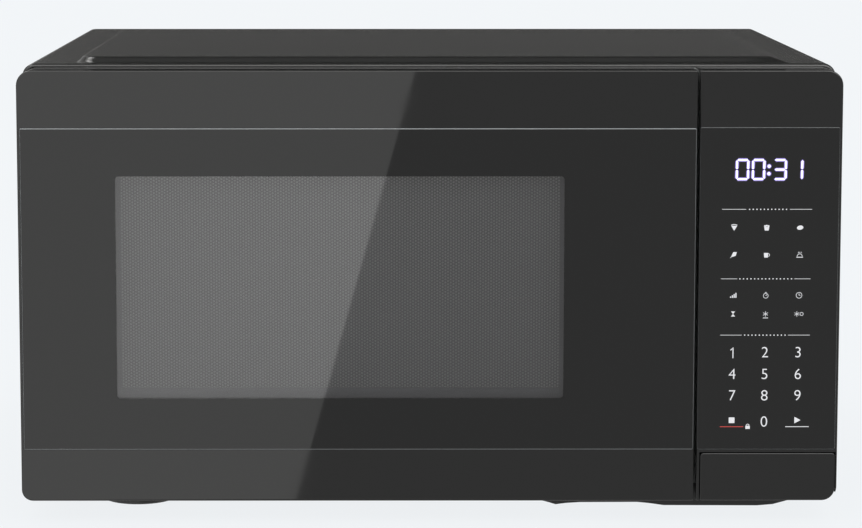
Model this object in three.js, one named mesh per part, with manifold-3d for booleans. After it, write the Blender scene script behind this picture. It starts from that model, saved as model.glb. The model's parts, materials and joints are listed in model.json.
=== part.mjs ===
// A countertop microwave oven, in millimetres.
//
// Inside the oven group, x runs to the right from the middle of the front, y runs back from the
// front face and z runs up from the lower edge of the front. The exported group moves that frame
// so that its origin lies under the middle of the oven, at the height of the feet, with +Z up.

import * as THREE from "three";
import { mergeVertices } from "three/addons/utils/BufferGeometryUtils.js";
import Module from "manifold-3d";

const wasm = await Module();
wasm.setup();

// Driving dimensions

const WIDTH = 513;
const DEPTH = 420;
const FRONT_HEIGHT = 271.6;
const FRONT_THICKNESS = 29;
const FOOT_DROP = 13; // how far the feet reach below the front
const CABINET_RISE = 2; // how far the cabinet's top stands above the door's
const PLATEAU_RISE = 4.2; // height of the pressed plateau on the cabinet's top
const CABINET_FRONT = 31.5;
const CABINET_REAR = 414;
const CABINET_FLOOR = 3;
const SHEET = 1;
const GAP = 0.3; // clearance between pieces that touch

const LEFT = -WIDTH / 2;
const RIGHT = WIDTH / 2;
const TOP = FRONT_HEIGHT + CABINET_RISE;

const DOOR_RIGHT = 166.3;
const FASCIA_LEFT = 167.9;
const WALL = 3;

const WINDOW = { left: -195.8, right: 84.1, bottom: 65.3, top: 205.6 };
const GLASS = { left: -254.6, right: 165.7, bottom: 33, top: 235.6, thickness: 2.2 };
const OVERLAY = { left: 168.2, right: 254.9, bottom: 33, top: 236.1, thickness: 1.2 };
const BUTTON = { left: 170.4, right: 255.4, bottom: 0.2, top: 30.5 };
const BUTTON_SLIP = 0.6; // clearance round the button at its left and top
const DOOR_CORNERS = [7, 1, 1, 9.5]; // radii, from lower left counter-clockwise
const FASCIA_CORNERS = [1, 8.8, 9.5, 1];

const CAVITY = { left: -224, right: 112, bottom: 30, top: 242, front: 33.5, rear: 378 };
const CAVITY_X = (CAVITY.left + CAVITY.right) / 2;
const TURNTABLE = { x: CAVITY_X, y: 200, tray_radius: 145, roller_radius: 7, roller_circle: 95 };

const PIVOT = { x: LEFT + 6, y: 20.5, pin_radius: 2.5 };
const HOOK = { x: 138, width: 10, shank: 6, reach: 62, lower: 56, upper: 212 };
const HOOK_SLOT = { left: 132, right: 146, below: 7.6, above: 11 };
const PLUNGER = { left: 176, right: 184, bottom: 20, top: 28 };
const LATCH_SPRING = { radius: 4, wire: 0.9, length: 17, turns: 5, y: 16, bottom: 228.5 };
const BUTTON_SPRING = { radius: 4.5, wire: 1, length: 16.2, turns: 5, x: 213, z: 15, front: 3.4 };
const LEVER = { y: 39, z: 46, rod_radius: 2.2 };
const FAN = { x: 193, z: 150, blade_radius: 47, shroud_front: 380 };

const ROUND = 28; // sides of a round piece
const SMALL_ROUND = 16;

// Materials

function finish(name, colour, roughness, metalness) {
  return new THREE.MeshStandardMaterial({ name, color: colour, roughness, metalness });
}

const gloss_black = finish("gloss_black", 0x2b2c2c, 0.2, 0);
const dark_glass = finish("dark_glass", 0x232323, 0.1, 0);
const black_plastic = finish("black_plastic", 0x1c1c1d, 0.6, 0);
const white_plastic = finish("white_plastic", 0xdcdcd6, 0.6, 0);
const cabinet_paint = finish("cabinet_paint", 0x46474a, 0.45, 0.2);
const cavity_enamel = finish("cavity_enamel", 0xc8c8c4, 0.4, 0.1);
const screen_paint = finish("screen_paint", 0x1a1a1a, 0.5, 0.3);
const zinc_steel = finish("zinc_steel", 0xb4b8ba, 0.35, 0.9);
const transformer_steel = finish("transformer_steel", 0x5d6164, 0.55, 0.8);
const aluminium = finish("aluminium", 0xc9cccf, 0.3, 0.9);
const copper_wire = finish("copper_wire", 0xa5562c, 0.4, 0.8);
const clear_glass = finish("clear_glass", 0xdfe8e6, 0.05, 0);
const clear_film = finish("clear_film", 0xe6e8e6, 0.15, 0);
const mica = finish("mica", 0xa89a82, 0.5, 0);
const board_green = finish("board_green", 0x2f6b3c, 0.5, 0);
const rubber = finish("rubber", 0x1b1b1b, 0.85, 0);

// Solids: closed geometry in, closed geometry out

function solid(geometry) {
  const bare = geometry.clone();
  bare.deleteAttribute("normal");
  bare.deleteAttribute("uv");
  const merged = mergeVertices(bare, 1e-4);
  return new wasm.Manifold(
    new wasm.Mesh({
      numProp: 3,
      vertProperties: new Float32Array(merged.attributes.position.array),
      triVerts: new Uint32Array(merged.index.array),
    }),
  );
}

function join(...pieces) {
  return pieces.reduce((whole, piece) => whole.add(piece));
}

function cut(body, ...tools) {
  return tools.reduce((whole, tool) => whole.subtract(tool), body);
}

function mesh(name, body, material) {
  const data = body.getMesh();
  const geometry = new THREE.BufferGeometry();
  geometry.setAttribute("position", new THREE.BufferAttribute(data.vertProperties, 3));
  geometry.setIndex(new THREE.BufferAttribute(data.triVerts, 1));
  geometry.computeVertexNormals();
  const piece = new THREE.Mesh(geometry, material);
  piece.name = name;
  return piece;
}

function group(...pieces) {
  const holder = new THREE.Group();
  holder.add(...pieces);
  return holder;
}

// A block between two corners.
function block(x0, x1, y0, y1, z0, z1) {
  const geometry = new THREE.BoxGeometry(x1 - x0, y1 - y0, z1 - z0);
  geometry.translate((x0 + x1) / 2, (y0 + y1) / 2, (z0 + z1) / 2);
  return solid(geometry);
}

// A rectangle with its own radius at each corner, from lower left counter-clockwise.
function roundedRectangle(x0, z0, x1, z1, radii) {
  const [a, b, c, d] = Array.isArray(radii) ? radii : [radii, radii, radii, radii];
  const shape = new THREE.Shape();
  shape.moveTo(x0 + a, z0);
  shape.lineTo(x1 - b, z0);
  if (b) shape.absarc(x1 - b, z0 + b, b, -Math.PI / 2, 0);
  shape.lineTo(x1, z1 - c);
  if (c) shape.absarc(x1 - c, z1 - c, c, 0, Math.PI / 2);
  shape.lineTo(x0 + d, z1);
  if (d) shape.absarc(x0 + d, z1 - d, d, Math.PI / 2, Math.PI);
  shape.lineTo(x0, z0 + a);
  if (a) shape.absarc(x0 + a, z0 + a, a, Math.PI, 1.5 * Math.PI);
  return shape;
}

const ARC_STEPS = 5;

// An outline in x and z, from y0 back to y1.
function extrudeBack(shape, y0, y1) {
  const geometry = new THREE.ExtrudeGeometry(shape, {
    depth: y1 - y0,
    bevelEnabled: false,
    curveSegments: ARC_STEPS,
  });
  geometry.rotateX(Math.PI / 2);
  geometry.translate(0, y1, 0);
  return solid(geometry);
}

// An outline in x and y, from z0 up to z1.
function extrudeUp(shape, z0, z1) {
  const geometry = new THREE.ExtrudeGeometry(shape, {
    depth: z1 - z0,
    bevelEnabled: false,
    curveSegments: ARC_STEPS,
  });
  geometry.translate(0, 0, z0);
  return solid(geometry);
}

// An outline in y and z, from x0 across to x1.
function extrudeAcross(points, x0, x1) {
  const shape = new THREE.Shape(points.map(([y, z]) => new THREE.Vector2(y, z)));
  const geometry = new THREE.ExtrudeGeometry(shape, { depth: x1 - x0, bevelEnabled: false });
  geometry.applyMatrix4(new THREE.Matrix4().set(0, 0, 1, x0, 1, 0, 0, 0, 0, 1, 0, 0, 0, 0, 0, 1));
  return solid(geometry);
}

function rod(axis, centre, radius, length, sides = SMALL_ROUND) {
  const geometry = new THREE.CylinderGeometry(radius, radius, length, sides);
  if (axis === "x") geometry.rotateZ(Math.PI / 2);
  if (axis === "z") geometry.rotateX(Math.PI / 2);
  geometry.translate(...centre);
  return solid(geometry);
}

// A round piece about the z axis, from a profile of radius and height.
function turned(profile, sides = ROUND) {
  const points = profile.map(([radius, height]) => new THREE.Vector2(radius, height));
  const geometry = new THREE.LatheGeometry(points, sides);
  geometry.rotateX(Math.PI / 2);
  return solid(geometry);
}

// A coil spring about the z axis, standing on z = 0.
class HelixCurve extends THREE.Curve {
  constructor(radius, height, turns) {
    super();
    this.radius = radius;
    this.height = height;
    this.turns = turns;
  }

  getPoint(t, target = new THREE.Vector3()) {
    const angle = 2 * Math.PI * this.turns * t;
    return target.set(this.radius * Math.cos(angle), this.radius * Math.sin(angle), this.height * t);
  }
}

function coilSpring({ radius, wire, length, turns }) {
  const section = new THREE.Shape();
  section.absarc(0, 0, wire / 2, 0, 2 * Math.PI);
  const path = new HelixCurve(radius, length - 2 * wire, turns);
  const geometry = new THREE.ExtrudeGeometry(section, {
    steps: turns * 10,
    extrudePath: path,
    curveSegments: 3,
    bevelEnabled: false,
  });
  geometry.translate(0, 0, wire);
  return solid(geometry);
}

// Slots in a row along x, cut through a sheet along y.
function slotRow(x0, count, pitch, width, z0, z1, y0, y1) {
  const slots = [];
  for (let i = 0; i < count; i += 1) {
    const x = x0 + i * pitch;
    slots.push(block(x, x + width, y0, y1, z0, z1));
  }
  return slots;
}

// Cabinet

const PLATEAU = {
  left: LEFT + 33,
  right: RIGHT - 31,
  front: CABINET_FRONT + 2,
  rear: CABINET_REAR - 72,
  slope: 5,
};

// The raised part of the cabinet's top, with sloped sides, lowered by drop for its inner face.
function plateau(drop) {
  const shape = roundedRectangle(
    PLATEAU.left + drop,
    PLATEAU.front + drop,
    PLATEAU.right - drop,
    PLATEAU.rear - drop,
    12,
  );
  const geometry = new THREE.ExtrudeGeometry(shape, {
    depth: 1,
    bevelEnabled: true,
    bevelThickness: PLATEAU_RISE,
    bevelSize: PLATEAU.slope,
    bevelOffset: -PLATEAU.slope,
    bevelSegments: 1,
    curveSegments: 4,
  });
  geometry.translate(0, 0, TOP - drop - 1);
  const trim = block(LEFT, RIGHT, 0, DEPTH, TOP - 2 * PLATEAU_RISE, TOP - drop - 0.5);
  return solid(geometry).subtract(trim);
}

const SIDE_VENT = { pitch: 12, width: 4, reach: 5 };
const RIGHT_VENTS = { front: 236, columns: 12, bottom: 96, height: 34, rows: 2, row_pitch: 46 };
const LEFT_VENTS = { front: 260, columns: 10, bottom: 200, height: 28, rows: 1, row_pitch: 0 };

// Upright slots through a side wall, in one or more rows.
function sideVents(wall_x, { front, columns, bottom, height, rows, row_pitch }) {
  const { pitch, width, reach } = SIDE_VENT;
  const vents = [];
  for (let row = 0; row < rows; row += 1) {
    const z = bottom + row * row_pitch;
    for (let column = 0; column < columns; column += 1) {
      const y = front + column * pitch;
      vents.push(block(wall_x - reach, wall_x + reach, y, y + width, z, z + height));
    }
  }
  return vents;
}

function outerCabinet() {
  const radii = [0, 0, 8, 8];
  const outside = extrudeBack(
    roundedRectangle(LEFT, CABINET_FLOOR, RIGHT, TOP, radii),
    CABINET_FRONT,
    CABINET_REAR,
  );
  const inside = extrudeBack(
    roundedRectangle(LEFT + SHEET, -SHEET, RIGHT - SHEET, TOP - SHEET, [0, 0, 7, 7]),
    0,
    DEPTH,
  );
  const vents = [...sideVents(RIGHT, RIGHT_VENTS), ...sideVents(LEFT, LEFT_VENTS)];
  const shell = cut(join(outside, plateau(0)), join(inside, plateau(SHEET)), ...vents);
  return mesh("outer_cabinet", shell, cabinet_paint);
}

const FOOT_BULGE = 3.4; // depth of the pressing that each front foot hangs from

const FEET = [
  { name: "foot_front_left", x: -188, y: 71, radius: 23.5, bulge: FOOT_BULGE, pressing: [60, 58] },
  { name: "foot_front_right", x: 178, y: 76, radius: 18, bulge: FOOT_BULGE, pressing: [60, 50] },
  { name: "foot_rear_left", x: -188, y: 372, radius: 14, bulge: 0 },
  { name: "foot_rear_right", x: 178, y: 372, radius: 14, bulge: 0 },
];

// The oval pressing in the base that a front foot hangs from.
function pressedBulge({ x, y, bulge, pressing: [length, width] }) {
  const dome = turned(
    [
      [0, -bulge],
      [0.62, -bulge],
      [1, 0],
      [0, 0],
    ],
    20,
  );
  return dome.scale([length / 2, width / 2, 1]).translate([x, y, CABINET_FLOOR]);
}

const BASE = { front: 35, rear: 411, flange: 8, rail_rear: 52 };
const BASE_VENTS = { left: 120, count: 9, pitch: 12, width: 4, front: 200, rear: 240 };

// A channel pressed down along the front of the base: shallow, with a small and a long deeper part.
function frontRail() {
  const profile = [
    [66, CABINET_FLOOR + 0.5],
    [69, -6.6],
    [76, -8.4],
    [81.6, -10.1],
    [88, -9.3],
    [97, -8.7],
    [134, -8.6],
    [142, -9.4],
    [151, -10.7],
    [211, -10.9],
    [221, -10.1],
    [231, -7.4],
    [236, CABINET_FLOOR + 0.5],
  ];
  const outline = new THREE.Shape(profile.map(([x, z]) => new THREE.Vector2(x, z)));
  return extrudeBack(outline, BASE.front, BASE.rail_rear);
}

function basePlate() {
  const { front, rear, flange } = BASE;
  const left = LEFT + SHEET + GAP;
  const right = RIGHT - SHEET - GAP;
  const floor = block(left, right, front, rear, CABINET_FLOOR, CABINET_FLOOR + SHEET);
  const sides = [left, right - SHEET].map((x) =>
    block(x, x + SHEET, front, rear, CABINET_FLOOR, CABINET_FLOOR + flange),
  );
  const bulges = FEET.filter(({ bulge }) => bulge > 0).map(pressedBulge);
  const vents = slotRow(
    BASE_VENTS.left,
    BASE_VENTS.count,
    BASE_VENTS.pitch,
    BASE_VENTS.width,
    CABINET_FLOOR - SHEET,
    CABINET_FLOOR + 2 * SHEET,
    BASE_VENTS.front,
    BASE_VENTS.rear,
  );
  const plate = join(floor, ...sides, ...bulges, frontRail());
  return mesh("base_plate", cut(plate, ...vents), cabinet_paint);
}

function foot({ name, x, y, radius, bulge }) {
  const top = CABINET_FLOOR - bulge - GAP;
  const body = turned([
    [0, -FOOT_DROP],
    [radius - 2, -FOOT_DROP],
    [radius, -FOOT_DROP + 2],
    [radius + 1.5, top],
    [0, top],
  ]);
  const piece = mesh(name, body, rubber);
  piece.position.set(x, y, 0);
  return piece;
}

const SCREWS = [
  [LEFT + 14, 260],
  [RIGHT - 14, 260],
  [LEFT + 14, 20],
  [RIGHT - 14, 20],
];
const REAR_SHEET = { front: 412.4, back: 413.6 };
const REAR_VENT = { pitch: 9.5, width: 5 };
const REAR_VENTS = [
  { left: 138, count: 12, bottom: 104, top: 140 },
  { left: 138, count: 12, bottom: 158, top: 194 },
  { left: -60, count: 10, bottom: 248, top: 258 },
];
const GLAND = { x: 222, z: 42, flange_radius: 11, neck_radius: 7.6, clearance: 0.4 };
const SCREW = { head_radius: 4.2, shank_radius: 1.9, hole_radius: 2.3 };

function rearPanel() {
  const inset = SHEET + GAP;
  const sheet = extrudeBack(
    roundedRectangle(LEFT + inset, 4.5, RIGHT - inset, TOP - inset, [0, 0, 6, 6]),
    REAR_SHEET.front,
    REAR_SHEET.back,
  );
  const middle = (REAR_SHEET.front + REAR_SHEET.back) / 2;
  const holes = REAR_VENTS.flatMap(({ left, count, bottom, top }) =>
    slotRow(left, count, REAR_VENT.pitch, REAR_VENT.width, bottom, top, middle - 5, middle + 5),
  );
  holes.push(rod("y", [GLAND.x, middle, GLAND.z], GLAND.neck_radius + GLAND.clearance, 10));
  for (const [x, z] of SCREWS) {
    holes.push(rod("y", [x, middle, z], SCREW.hole_radius, 10, 12));
  }
  return mesh("rear_panel", cut(sheet, ...holes), zinc_steel);
}

function screw(index, [x, z]) {
  const head = rod("y", [0, REAR_SHEET.back + GAP + 1.2, 0], SCREW.head_radius, 2.4, SMALL_ROUND);
  const shank = rod("y", [0, REAR_SHEET.back - 3, 0], SCREW.shank_radius, 9, 10);
  const recess = [
    block(-2.2, 2.2, REAR_SHEET.back + 1.6, 430, -0.4, 0.4),
    block(-0.4, 0.4, REAR_SHEET.back + 1.6, 430, -2.2, 2.2),
  ];
  const piece = mesh(`rear_screw_${index + 1}`, cut(join(head, shank), ...recess), zinc_steel);
  piece.position.set(x, 0, z);
  return piece;
}

function cordGland() {
  const { x, z, flange_radius, neck_radius } = GLAND;
  const flange_front = REAR_SHEET.back + GAP;
  const flange_middle = (flange_front + DEPTH) / 2;
  const flange = rod("y", [x, flange_middle, z], flange_radius, DEPTH - flange_front);
  const neck = rod("y", [x, 411, z], neck_radius, 10);
  const passage = block(x - 3.5, x + 3.5, 400, 430, z - 2.2, z + 2.2);
  return mesh("cord_gland", cut(join(flange, neck), passage), black_plastic);
}

// Front plate and cavity

function hookSlots(y0, y1) {
  const { left, right, below, above } = HOOK_SLOT;
  return [HOOK.lower, HOOK.upper].map((z) => block(left, right, y0, y1, z - below, z + above));
}

function frontPlate() {
  const sheet = extrudeBack(
    roundedRectangle(LEFT + 2.5, 4.6, RIGHT - 2.5, TOP - 2.5, [0, 0, 6, 6]),
    32,
    33.2,
  );
  const openings = [
    block(CAVITY.left, CAVITY.right, 30, 35, CAVITY.bottom, CAVITY.top),
    block(185, 245, 30, 35, 60, 200),
    block(175, 185, 30, 35, 18.5, 29.5),
    ...hookSlots(30, 35),
  ];
  return mesh("front_plate", cut(sheet, ...openings), cavity_enamel);
}

function cavityLiner() {
  const outside = block(
    CAVITY.left - SHEET,
    CAVITY.right + SHEET,
    CAVITY.front,
    CAVITY.rear + SHEET,
    CAVITY.bottom - SHEET,
    CAVITY.top + SHEET,
  );
  const inside = block(CAVITY.left, CAVITY.right, 30, CAVITY.rear, CAVITY.bottom, CAVITY.top);
  const drive_hole = rod("z", [TURNTABLE.x, TURNTABLE.y, CAVITY.bottom], 6, 10);
  const wave_hole = block(105, 120, 166, 244, 150, 196);
  const lamp_hole = block(105, 120, 92, 114, 214, 232);
  const vents = [];
  for (let i = 0; i < 8; i += 1) {
    vents.push(block(105, 120, 268 + i * 8, 272 + i * 8, 170, 200));
    vents.push(block(-230, -220, 268 + i * 8, 272 + i * 8, 190, 220));
  }
  const body = cut(outside, inside, drive_hole, wave_hole, lamp_hole, ...vents);
  return mesh("cavity_liner", body, cavity_enamel);
}

function waveguideCover() {
  const sheet = block(CAVITY.right - 1.3, CAVITY.right - GAP, 160, 250, 144, 202);
  return mesh("waveguide_cover", sheet, mica);
}

// Hinge brackets: an arm from a flange on the front plate, with a pin on the door's axis.
function hingeBracket(name, arm_bottom, pin_direction) {
  const arm_top = arm_bottom + 2;
  const tongue = roundedRectangle(PIVOT.x - 5, PIVOT.y - 5, PIVOT.x + 5, 31, [5, 5, 0, 0]);
  const arm = extrudeUp(tongue, arm_bottom, arm_top);
  const middle = (arm_bottom + arm_top) / 2;
  const pin_z = pin_direction > 0 ? arm_top + 5.9 : arm_bottom - 5.9;
  const pin = rod("z", [PIVOT.x, PIVOT.y, pin_z], PIVOT.pin_radius, 12);
  const flange = block(PIVOT.x - 2, -226, 30.2, 31.7, middle - 7, middle + 6);
  return mesh(name, join(arm, pin, flange), zinc_steel);
}

const HINGE_ARMS = { upper: 262, lower: 7.6 };

// Door

function doorFrame() {
  const outer = extrudeBack(
    roundedRectangle(LEFT, 0, DOOR_RIGHT, FRONT_HEIGHT, DOOR_CORNERS),
    0,
    FRONT_THICKNESS,
  );
  const glass_recess = block(
    GLASS.left - GAP,
    DOOR_RIGHT + 1,
    -1,
    GLASS.thickness + GAP,
    GLASS.bottom - GAP,
    GLASS.top + GAP,
  );
  const window_hole = block(
    WINDOW.left - 1.5,
    WINDOW.right + 1.5,
    -1,
    FRONT_THICKNESS + 1,
    WINDOW.bottom - 1.5,
    WINDOW.top + 1.5,
  );
  const pocket = block(LEFT + 16.5, DOOR_RIGHT - WALL, 5.5, 40, WALL, FRONT_HEIGHT - WALL);
  const spring_shelf = block(130, 148, 5, 24, 246, 249);
  const rear_corner = extrudeUp(
    new THREE.Shape([
      new THREE.Vector2(LEFT - 1, FRONT_THICKNESS - 4),
      new THREE.Vector2(LEFT + 4, FRONT_THICKNESS + 1),
      new THREE.Vector2(LEFT - 1, FRONT_THICKNESS + 1),
    ]),
    -1,
    FRONT_HEIGHT + 1,
  );
  const cuts = [glass_recess, window_hole, pocket, rear_corner];
  for (const [arm, pin_end] of [
    [HINGE_ARMS.upper, HINGE_ARMS.upper - 12.5],
    [HINGE_ARMS.lower, HINGE_ARMS.lower + 14.5],
  ]) {
    cuts.push(block(LEFT - 1, PIVOT.x + 6.5, 12, 40, arm - 0.8, arm + 2.8));
    const length = Math.abs(pin_end - arm);
    cuts.push(rod("z", [PIVOT.x, PIVOT.y, (arm + pin_end) / 2], PIVOT.pin_radius + 0.4, length));
  }
  return mesh("door_frame", join(cut(outer, ...cuts), spring_shelf), gloss_black);
}

function doorGlass() {
  const pane = extrudeBack(
    roundedRectangle(GLASS.left, GLASS.bottom, GLASS.right, GLASS.top, 0.8),
    0,
    GLASS.thickness,
  );
  return mesh("door_glass", pane, dark_glass);
}

const SCREEN = { left: -236, right: 124, bottom: 18, top: 254, front: 9 };

function doorScreen() {
  const { left, right, bottom, top, front } = SCREEN;
  const plate = block(left, right, front, front + SHEET, bottom, top);
  const rim = cut(
    block(left, right, front, 24.4, bottom, top),
    block(left + SHEET, right - SHEET, front - 1, 40, bottom + SHEET, top - SHEET),
  );
  return mesh("door_screen", join(plate, rim), screen_paint);
}

function doorInnerWindow() {
  return mesh("door_inner_window", block(-219, 107, 10.4, 11.8, 47, 223), clear_film);
}

function doorBackCover() {
  const outer = block(LEFT + 16.8, DOOR_RIGHT - WALL - GAP, 25, 28.4, WALL + GAP, 268.3);
  const lip = block(-219, 107, 12.1, 28.4, 47, 223);
  const opening = block(-217, 105, 0, 40, 49, 221);
  const slots = [HOOK.lower, HOOK.upper].map((z) => block(132, 144, 20, 35, z - 7, z + 11));
  return mesh("door_back_cover", cut(join(outer, lip), opening, ...slots), black_plastic);
}

function latchHooks() {
  const half = HOOK.width / 2;
  const bar = block(HOOK.x - 6, HOOK.x + 6, 13, 19, 32, 228);
  const hooks = [];
  for (const z of [HOOK.lower, HOOK.upper]) {
    hooks.push(block(HOOK.x - 3, HOOK.x + 3, 18, HOOK.reach, z, z + HOOK.shank));
    hooks.push(
      extrudeAcross(
        [
          [HOOK.reach - 8, z - 6],
          [HOOK.reach - 2, z - 6],
          [HOOK.reach, z - 1],
          [HOOK.reach, z + HOOK.shank],
          [HOOK.reach - 8, z + HOOK.shank],
        ],
        HOOK.x - half,
        HOOK.x + half,
      ),
    );
  }
  return mesh("latch_hooks", join(bar, ...hooks), white_plastic);
}

function latchSpring() {
  const piece = mesh("latch_spring", coilSpring(LATCH_SPRING), zinc_steel);
  piece.position.set(HOOK.x, LATCH_SPRING.y, LATCH_SPRING.bottom);
  return piece;
}

// Control side

function controlFascia() {
  const outer = extrudeBack(
    roundedRectangle(FASCIA_LEFT, 0, RIGHT, FRONT_HEIGHT, FASCIA_CORNERS),
    0,
    FRONT_THICKNESS + 1,
  );
  const cuts = [
    block(160, OVERLAY.right + GAP, -1, 1.5, OVERLAY.bottom - GAP, OVERLAY.top + GAP),
    block(170.4, 253.5, 4, 40, 36, 268),
    block(
      BUTTON.left - BUTTON_SLIP,
      BUTTON.right + GAP,
      -1,
      20,
      -1,
      BUTTON.top + BUTTON_SLIP,
    ),
    block(170.4, 253.5, 22.5, 40, 3, 37),
    block(PLUNGER.left - 1, PLUNGER.right + 1, 10, 40, PLUNGER.bottom - 1.5, PLUNGER.top + 1.5),
    block(187, 239, -1, 10, 197, 221),
  ];
  return mesh("control_fascia", cut(outer, ...cuts), gloss_black);
}

function touchOverlay() {
  const sheet = extrudeBack(
    roundedRectangle(OVERLAY.left, OVERLAY.bottom, OVERLAY.right, OVERLAY.top, 0.8),
    0,
    OVERLAY.thickness,
  );
  return mesh("touch_overlay", sheet, dark_glass);
}

function displayModule() {
  const face = block(188, 238, 1.6, 8, 198, 220);
  const back = block(184, 242, 4.4, 11, 194, 224);
  return mesh("display_module", join(face, back), black_plastic);
}

function controlBoard() {
  const board = block(173, 251, 13, 14.6, 40, 240);
  const parts = [
    block(178, 186, 14, 24, 60, 84),
    block(200, 208, 14, 22, 60, 66),
    rod("y", [232, 19, 66], 5, 10),
    rod("y", [232, 18, 84], 4, 8),
    block(200, 222, 14, 18, 150, 172),
    block(236, 246, 14, 24, 180, 210),
  ];
  return mesh("control_board", join(board, ...parts), board_green);
}

function powerRelay() {
  return mesh("power_relay", block(192, 212, 14.9, 28, 96, 124), black_plastic);
}

function standbyTransformer() {
  const core = block(222, 246, 14.9, 29, 100, 130);
  const bobbin = block(225, 243, 14.9, 29, 96, 134);
  return mesh("standby_transformer", join(core, bobbin), transformer_steel);
}

function releaseButton() {
  const { left, right, bottom, top } = BUTTON;
  const outer = extrudeBack(roundedRectangle(left, bottom, right, top, [1, 8.2, 2, 2]), 0, 13.5);
  const hollow = block(left + 2.5, right - 2.5, 3, 20, bottom + 2.5, top - 2.5);
  const spring_post = rod("y", [BUTTON_SPRING.x, 6.5, BUTTON_SPRING.z], 2.6, 9);
  const plunger = block(PLUNGER.left, PLUNGER.right, 2, 35.4, PLUNGER.bottom, PLUNGER.top);
  return mesh("release_button", join(cut(outer, hollow), spring_post, plunger), gloss_black);
}

function buttonSpring() {
  const piece = mesh("button_spring", coilSpring(BUTTON_SPRING), zinc_steel);
  piece.rotation.x = -Math.PI / 2;
  piece.position.set(BUTTON_SPRING.x, BUTTON_SPRING.front, BUTTON_SPRING.z);
  return piece;
}

// Latch housing: a board behind the front plate, with two cheeks and two ledges for each hook.
function latchHousing() {
  const board = cut(block(122, 156, 33.6, 36, 26, 240), ...hookSlots(30, 40));
  const parts = [];
  for (const z of [HOOK.lower, HOOK.upper]) {
    parts.push(block(126, 131, 35.5, 66, z - 18, z + 14));
    parts.push(block(147, 151, 35.5, 66, z - 18, z + 14));
    parts.push(block(130, 134.6, 43.5, 53, z - 13, z - 6.6));
    parts.push(block(141.4, 148, 43.5, 53, z - 13, z - 6.6));
  }
  const rod_hole = rod("x", [138, LEVER.y, LEVER.z], LEVER.rod_radius + 0.4, 60);
  return mesh("latch_housing", cut(join(board, ...parts), rod_hole), white_plastic);
}

function releaseLever() {
  const { y, z, rod_radius } = LEVER;
  const spindle = rod("x", [155, y, z], rod_radius, 64);
  const lifting_arm = extrudeAcross(
    [
      [y - 1, z - 1.5],
      [60, 45.5],
      [60, 49.4],
      [y + 15.5, 49.4],
      [y - 1, z + 2],
    ],
    136,
    140,
  );
  const pushed_arm = block(PLUNGER.left, PLUNGER.right, 36.9, 41, PLUNGER.bottom, z);
  return mesh("release_lever", join(spindle, lifting_arm, pushed_arm), white_plastic);
}

function doorSwitch(name, z) {
  const body = block(0, 10, 0, 28, 0, 16);
  const terminals = [block(3, 7, 28 - 1, 34, 2, 3), block(3, 7, 28 - 1, 34, 12, 13)];
  const piece = mesh(name, join(body, ...terminals), black_plastic);
  piece.position.set(151.4, 38, z);
  return piece;
}

// Turntable

function turntableMotor() {
  const body = rod("z", [0, 0, 16.5], 24.5, 14, ROUND);
  const ears = block(-32, 32, -6, 6, 22, 23.4);
  const terminals = block(-6, 6, -34, -20, 12, 18);
  const shaft_hole = rod("z", [0, 0, 20], 3.4, 12);
  const piece = mesh("turntable_motor", cut(join(body, ears, terminals), shaft_hole), zinc_steel);
  piece.position.set(TURNTABLE.x, TURNTABLE.y, 0);
  return piece;
}

const TRAY_BOTTOM = CAVITY.bottom + 2 * TURNTABLE.roller_radius + 2 * GAP;

function driveCoupler() {
  const shaft = rod("z", [0, 0, 25], 3, 20);
  const hub = rod("z", [0, 0, 36.5], 9, 11);
  const arms = [];
  for (let i = 0; i < 3; i += 1) {
    const arm = block(0, 22, -4, 4, 35, TRAY_BOTTOM - GAP);
    arms.push(arm.rotate([0, 0, i * 120]));
  }
  const piece = mesh("drive_coupler", join(shaft, hub, ...arms), white_plastic);
  piece.position.set(TURNTABLE.x, TURNTABLE.y, 0);
  return piece;
}

function glassTray() {
  const r = TURNTABLE.tray_radius;
  const body = turned(
    [
      [0, 0],
      [r - 12, 0],
      [r, 9],
      [r, 11],
      [r - 3, 11],
      [r - 13, 4.5],
      [0, 4.5],
    ],
    40,
  );
  const lugs = [];
  for (let i = 0; i < 3; i += 1) {
    const lug = block(10, 20, 5, 9, -4, 1);
    lugs.push(lug.rotate([0, 0, i * 120]));
  }
  const piece = mesh("glass_tray", join(body, ...lugs), clear_glass);
  piece.position.set(TURNTABLE.x, TURNTABLE.y, TRAY_BOTTOM);
  return piece;
}

function rollerRing() {
  const r = TURNTABLE.roller_circle;
  const height = CAVITY.bottom + TURNTABLE.roller_radius + GAP;
  const band = turned(
    [
      [r - 9, -3],
      [r - 6, -3],
      [r - 6, 3],
      [r - 9, 3],
      [r - 9, -3],
    ],
    36,
  );
  const axles = [];
  for (let i = 0; i < 3; i += 1) {
    axles.push(rod("x", [r - 0.5, 0, 0], 1.5, 13, 10).rotate([0, 0, i * 120 + 60]));
  }
  const piece = mesh("roller_ring", join(band, ...axles), white_plastic);
  piece.position.set(TURNTABLE.x, TURNTABLE.y, height);
  return piece;
}

function roller(index) {
  const width = 7;
  const body = cut(
    rod("x", [0, 0, 0], TURNTABLE.roller_radius, width, 24),
    rod("x", [0, 0, 0], 1.9, width + 2, 10),
  );
  const piece = mesh(`roller_${index + 1}`, body, white_plastic);
  piece.position.set(TURNTABLE.roller_circle + 1, 0, 0);
  const arm = group(piece);
  arm.rotation.z = THREE.MathUtils.degToRad(index * 120 + 60);
  arm.position.set(TURNTABLE.x, TURNTABLE.y, CAVITY.bottom + TURNTABLE.roller_radius + GAP);
  return arm;
}

// Power parts in the machine compartment

function waveguide() {
  const x0 = CAVITY.right + SHEET + GAP;
  const duct = cut(
    block(x0, x0 + 26, 160, 276, 144, 202),
    block(x0 - 1, x0 + 25, 161, 275, 145, 201),
    rod("x", [x0 + 26, 250, 173], 9, 8),
  );
  return mesh("waveguide", duct, zinc_steel);
}

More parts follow.
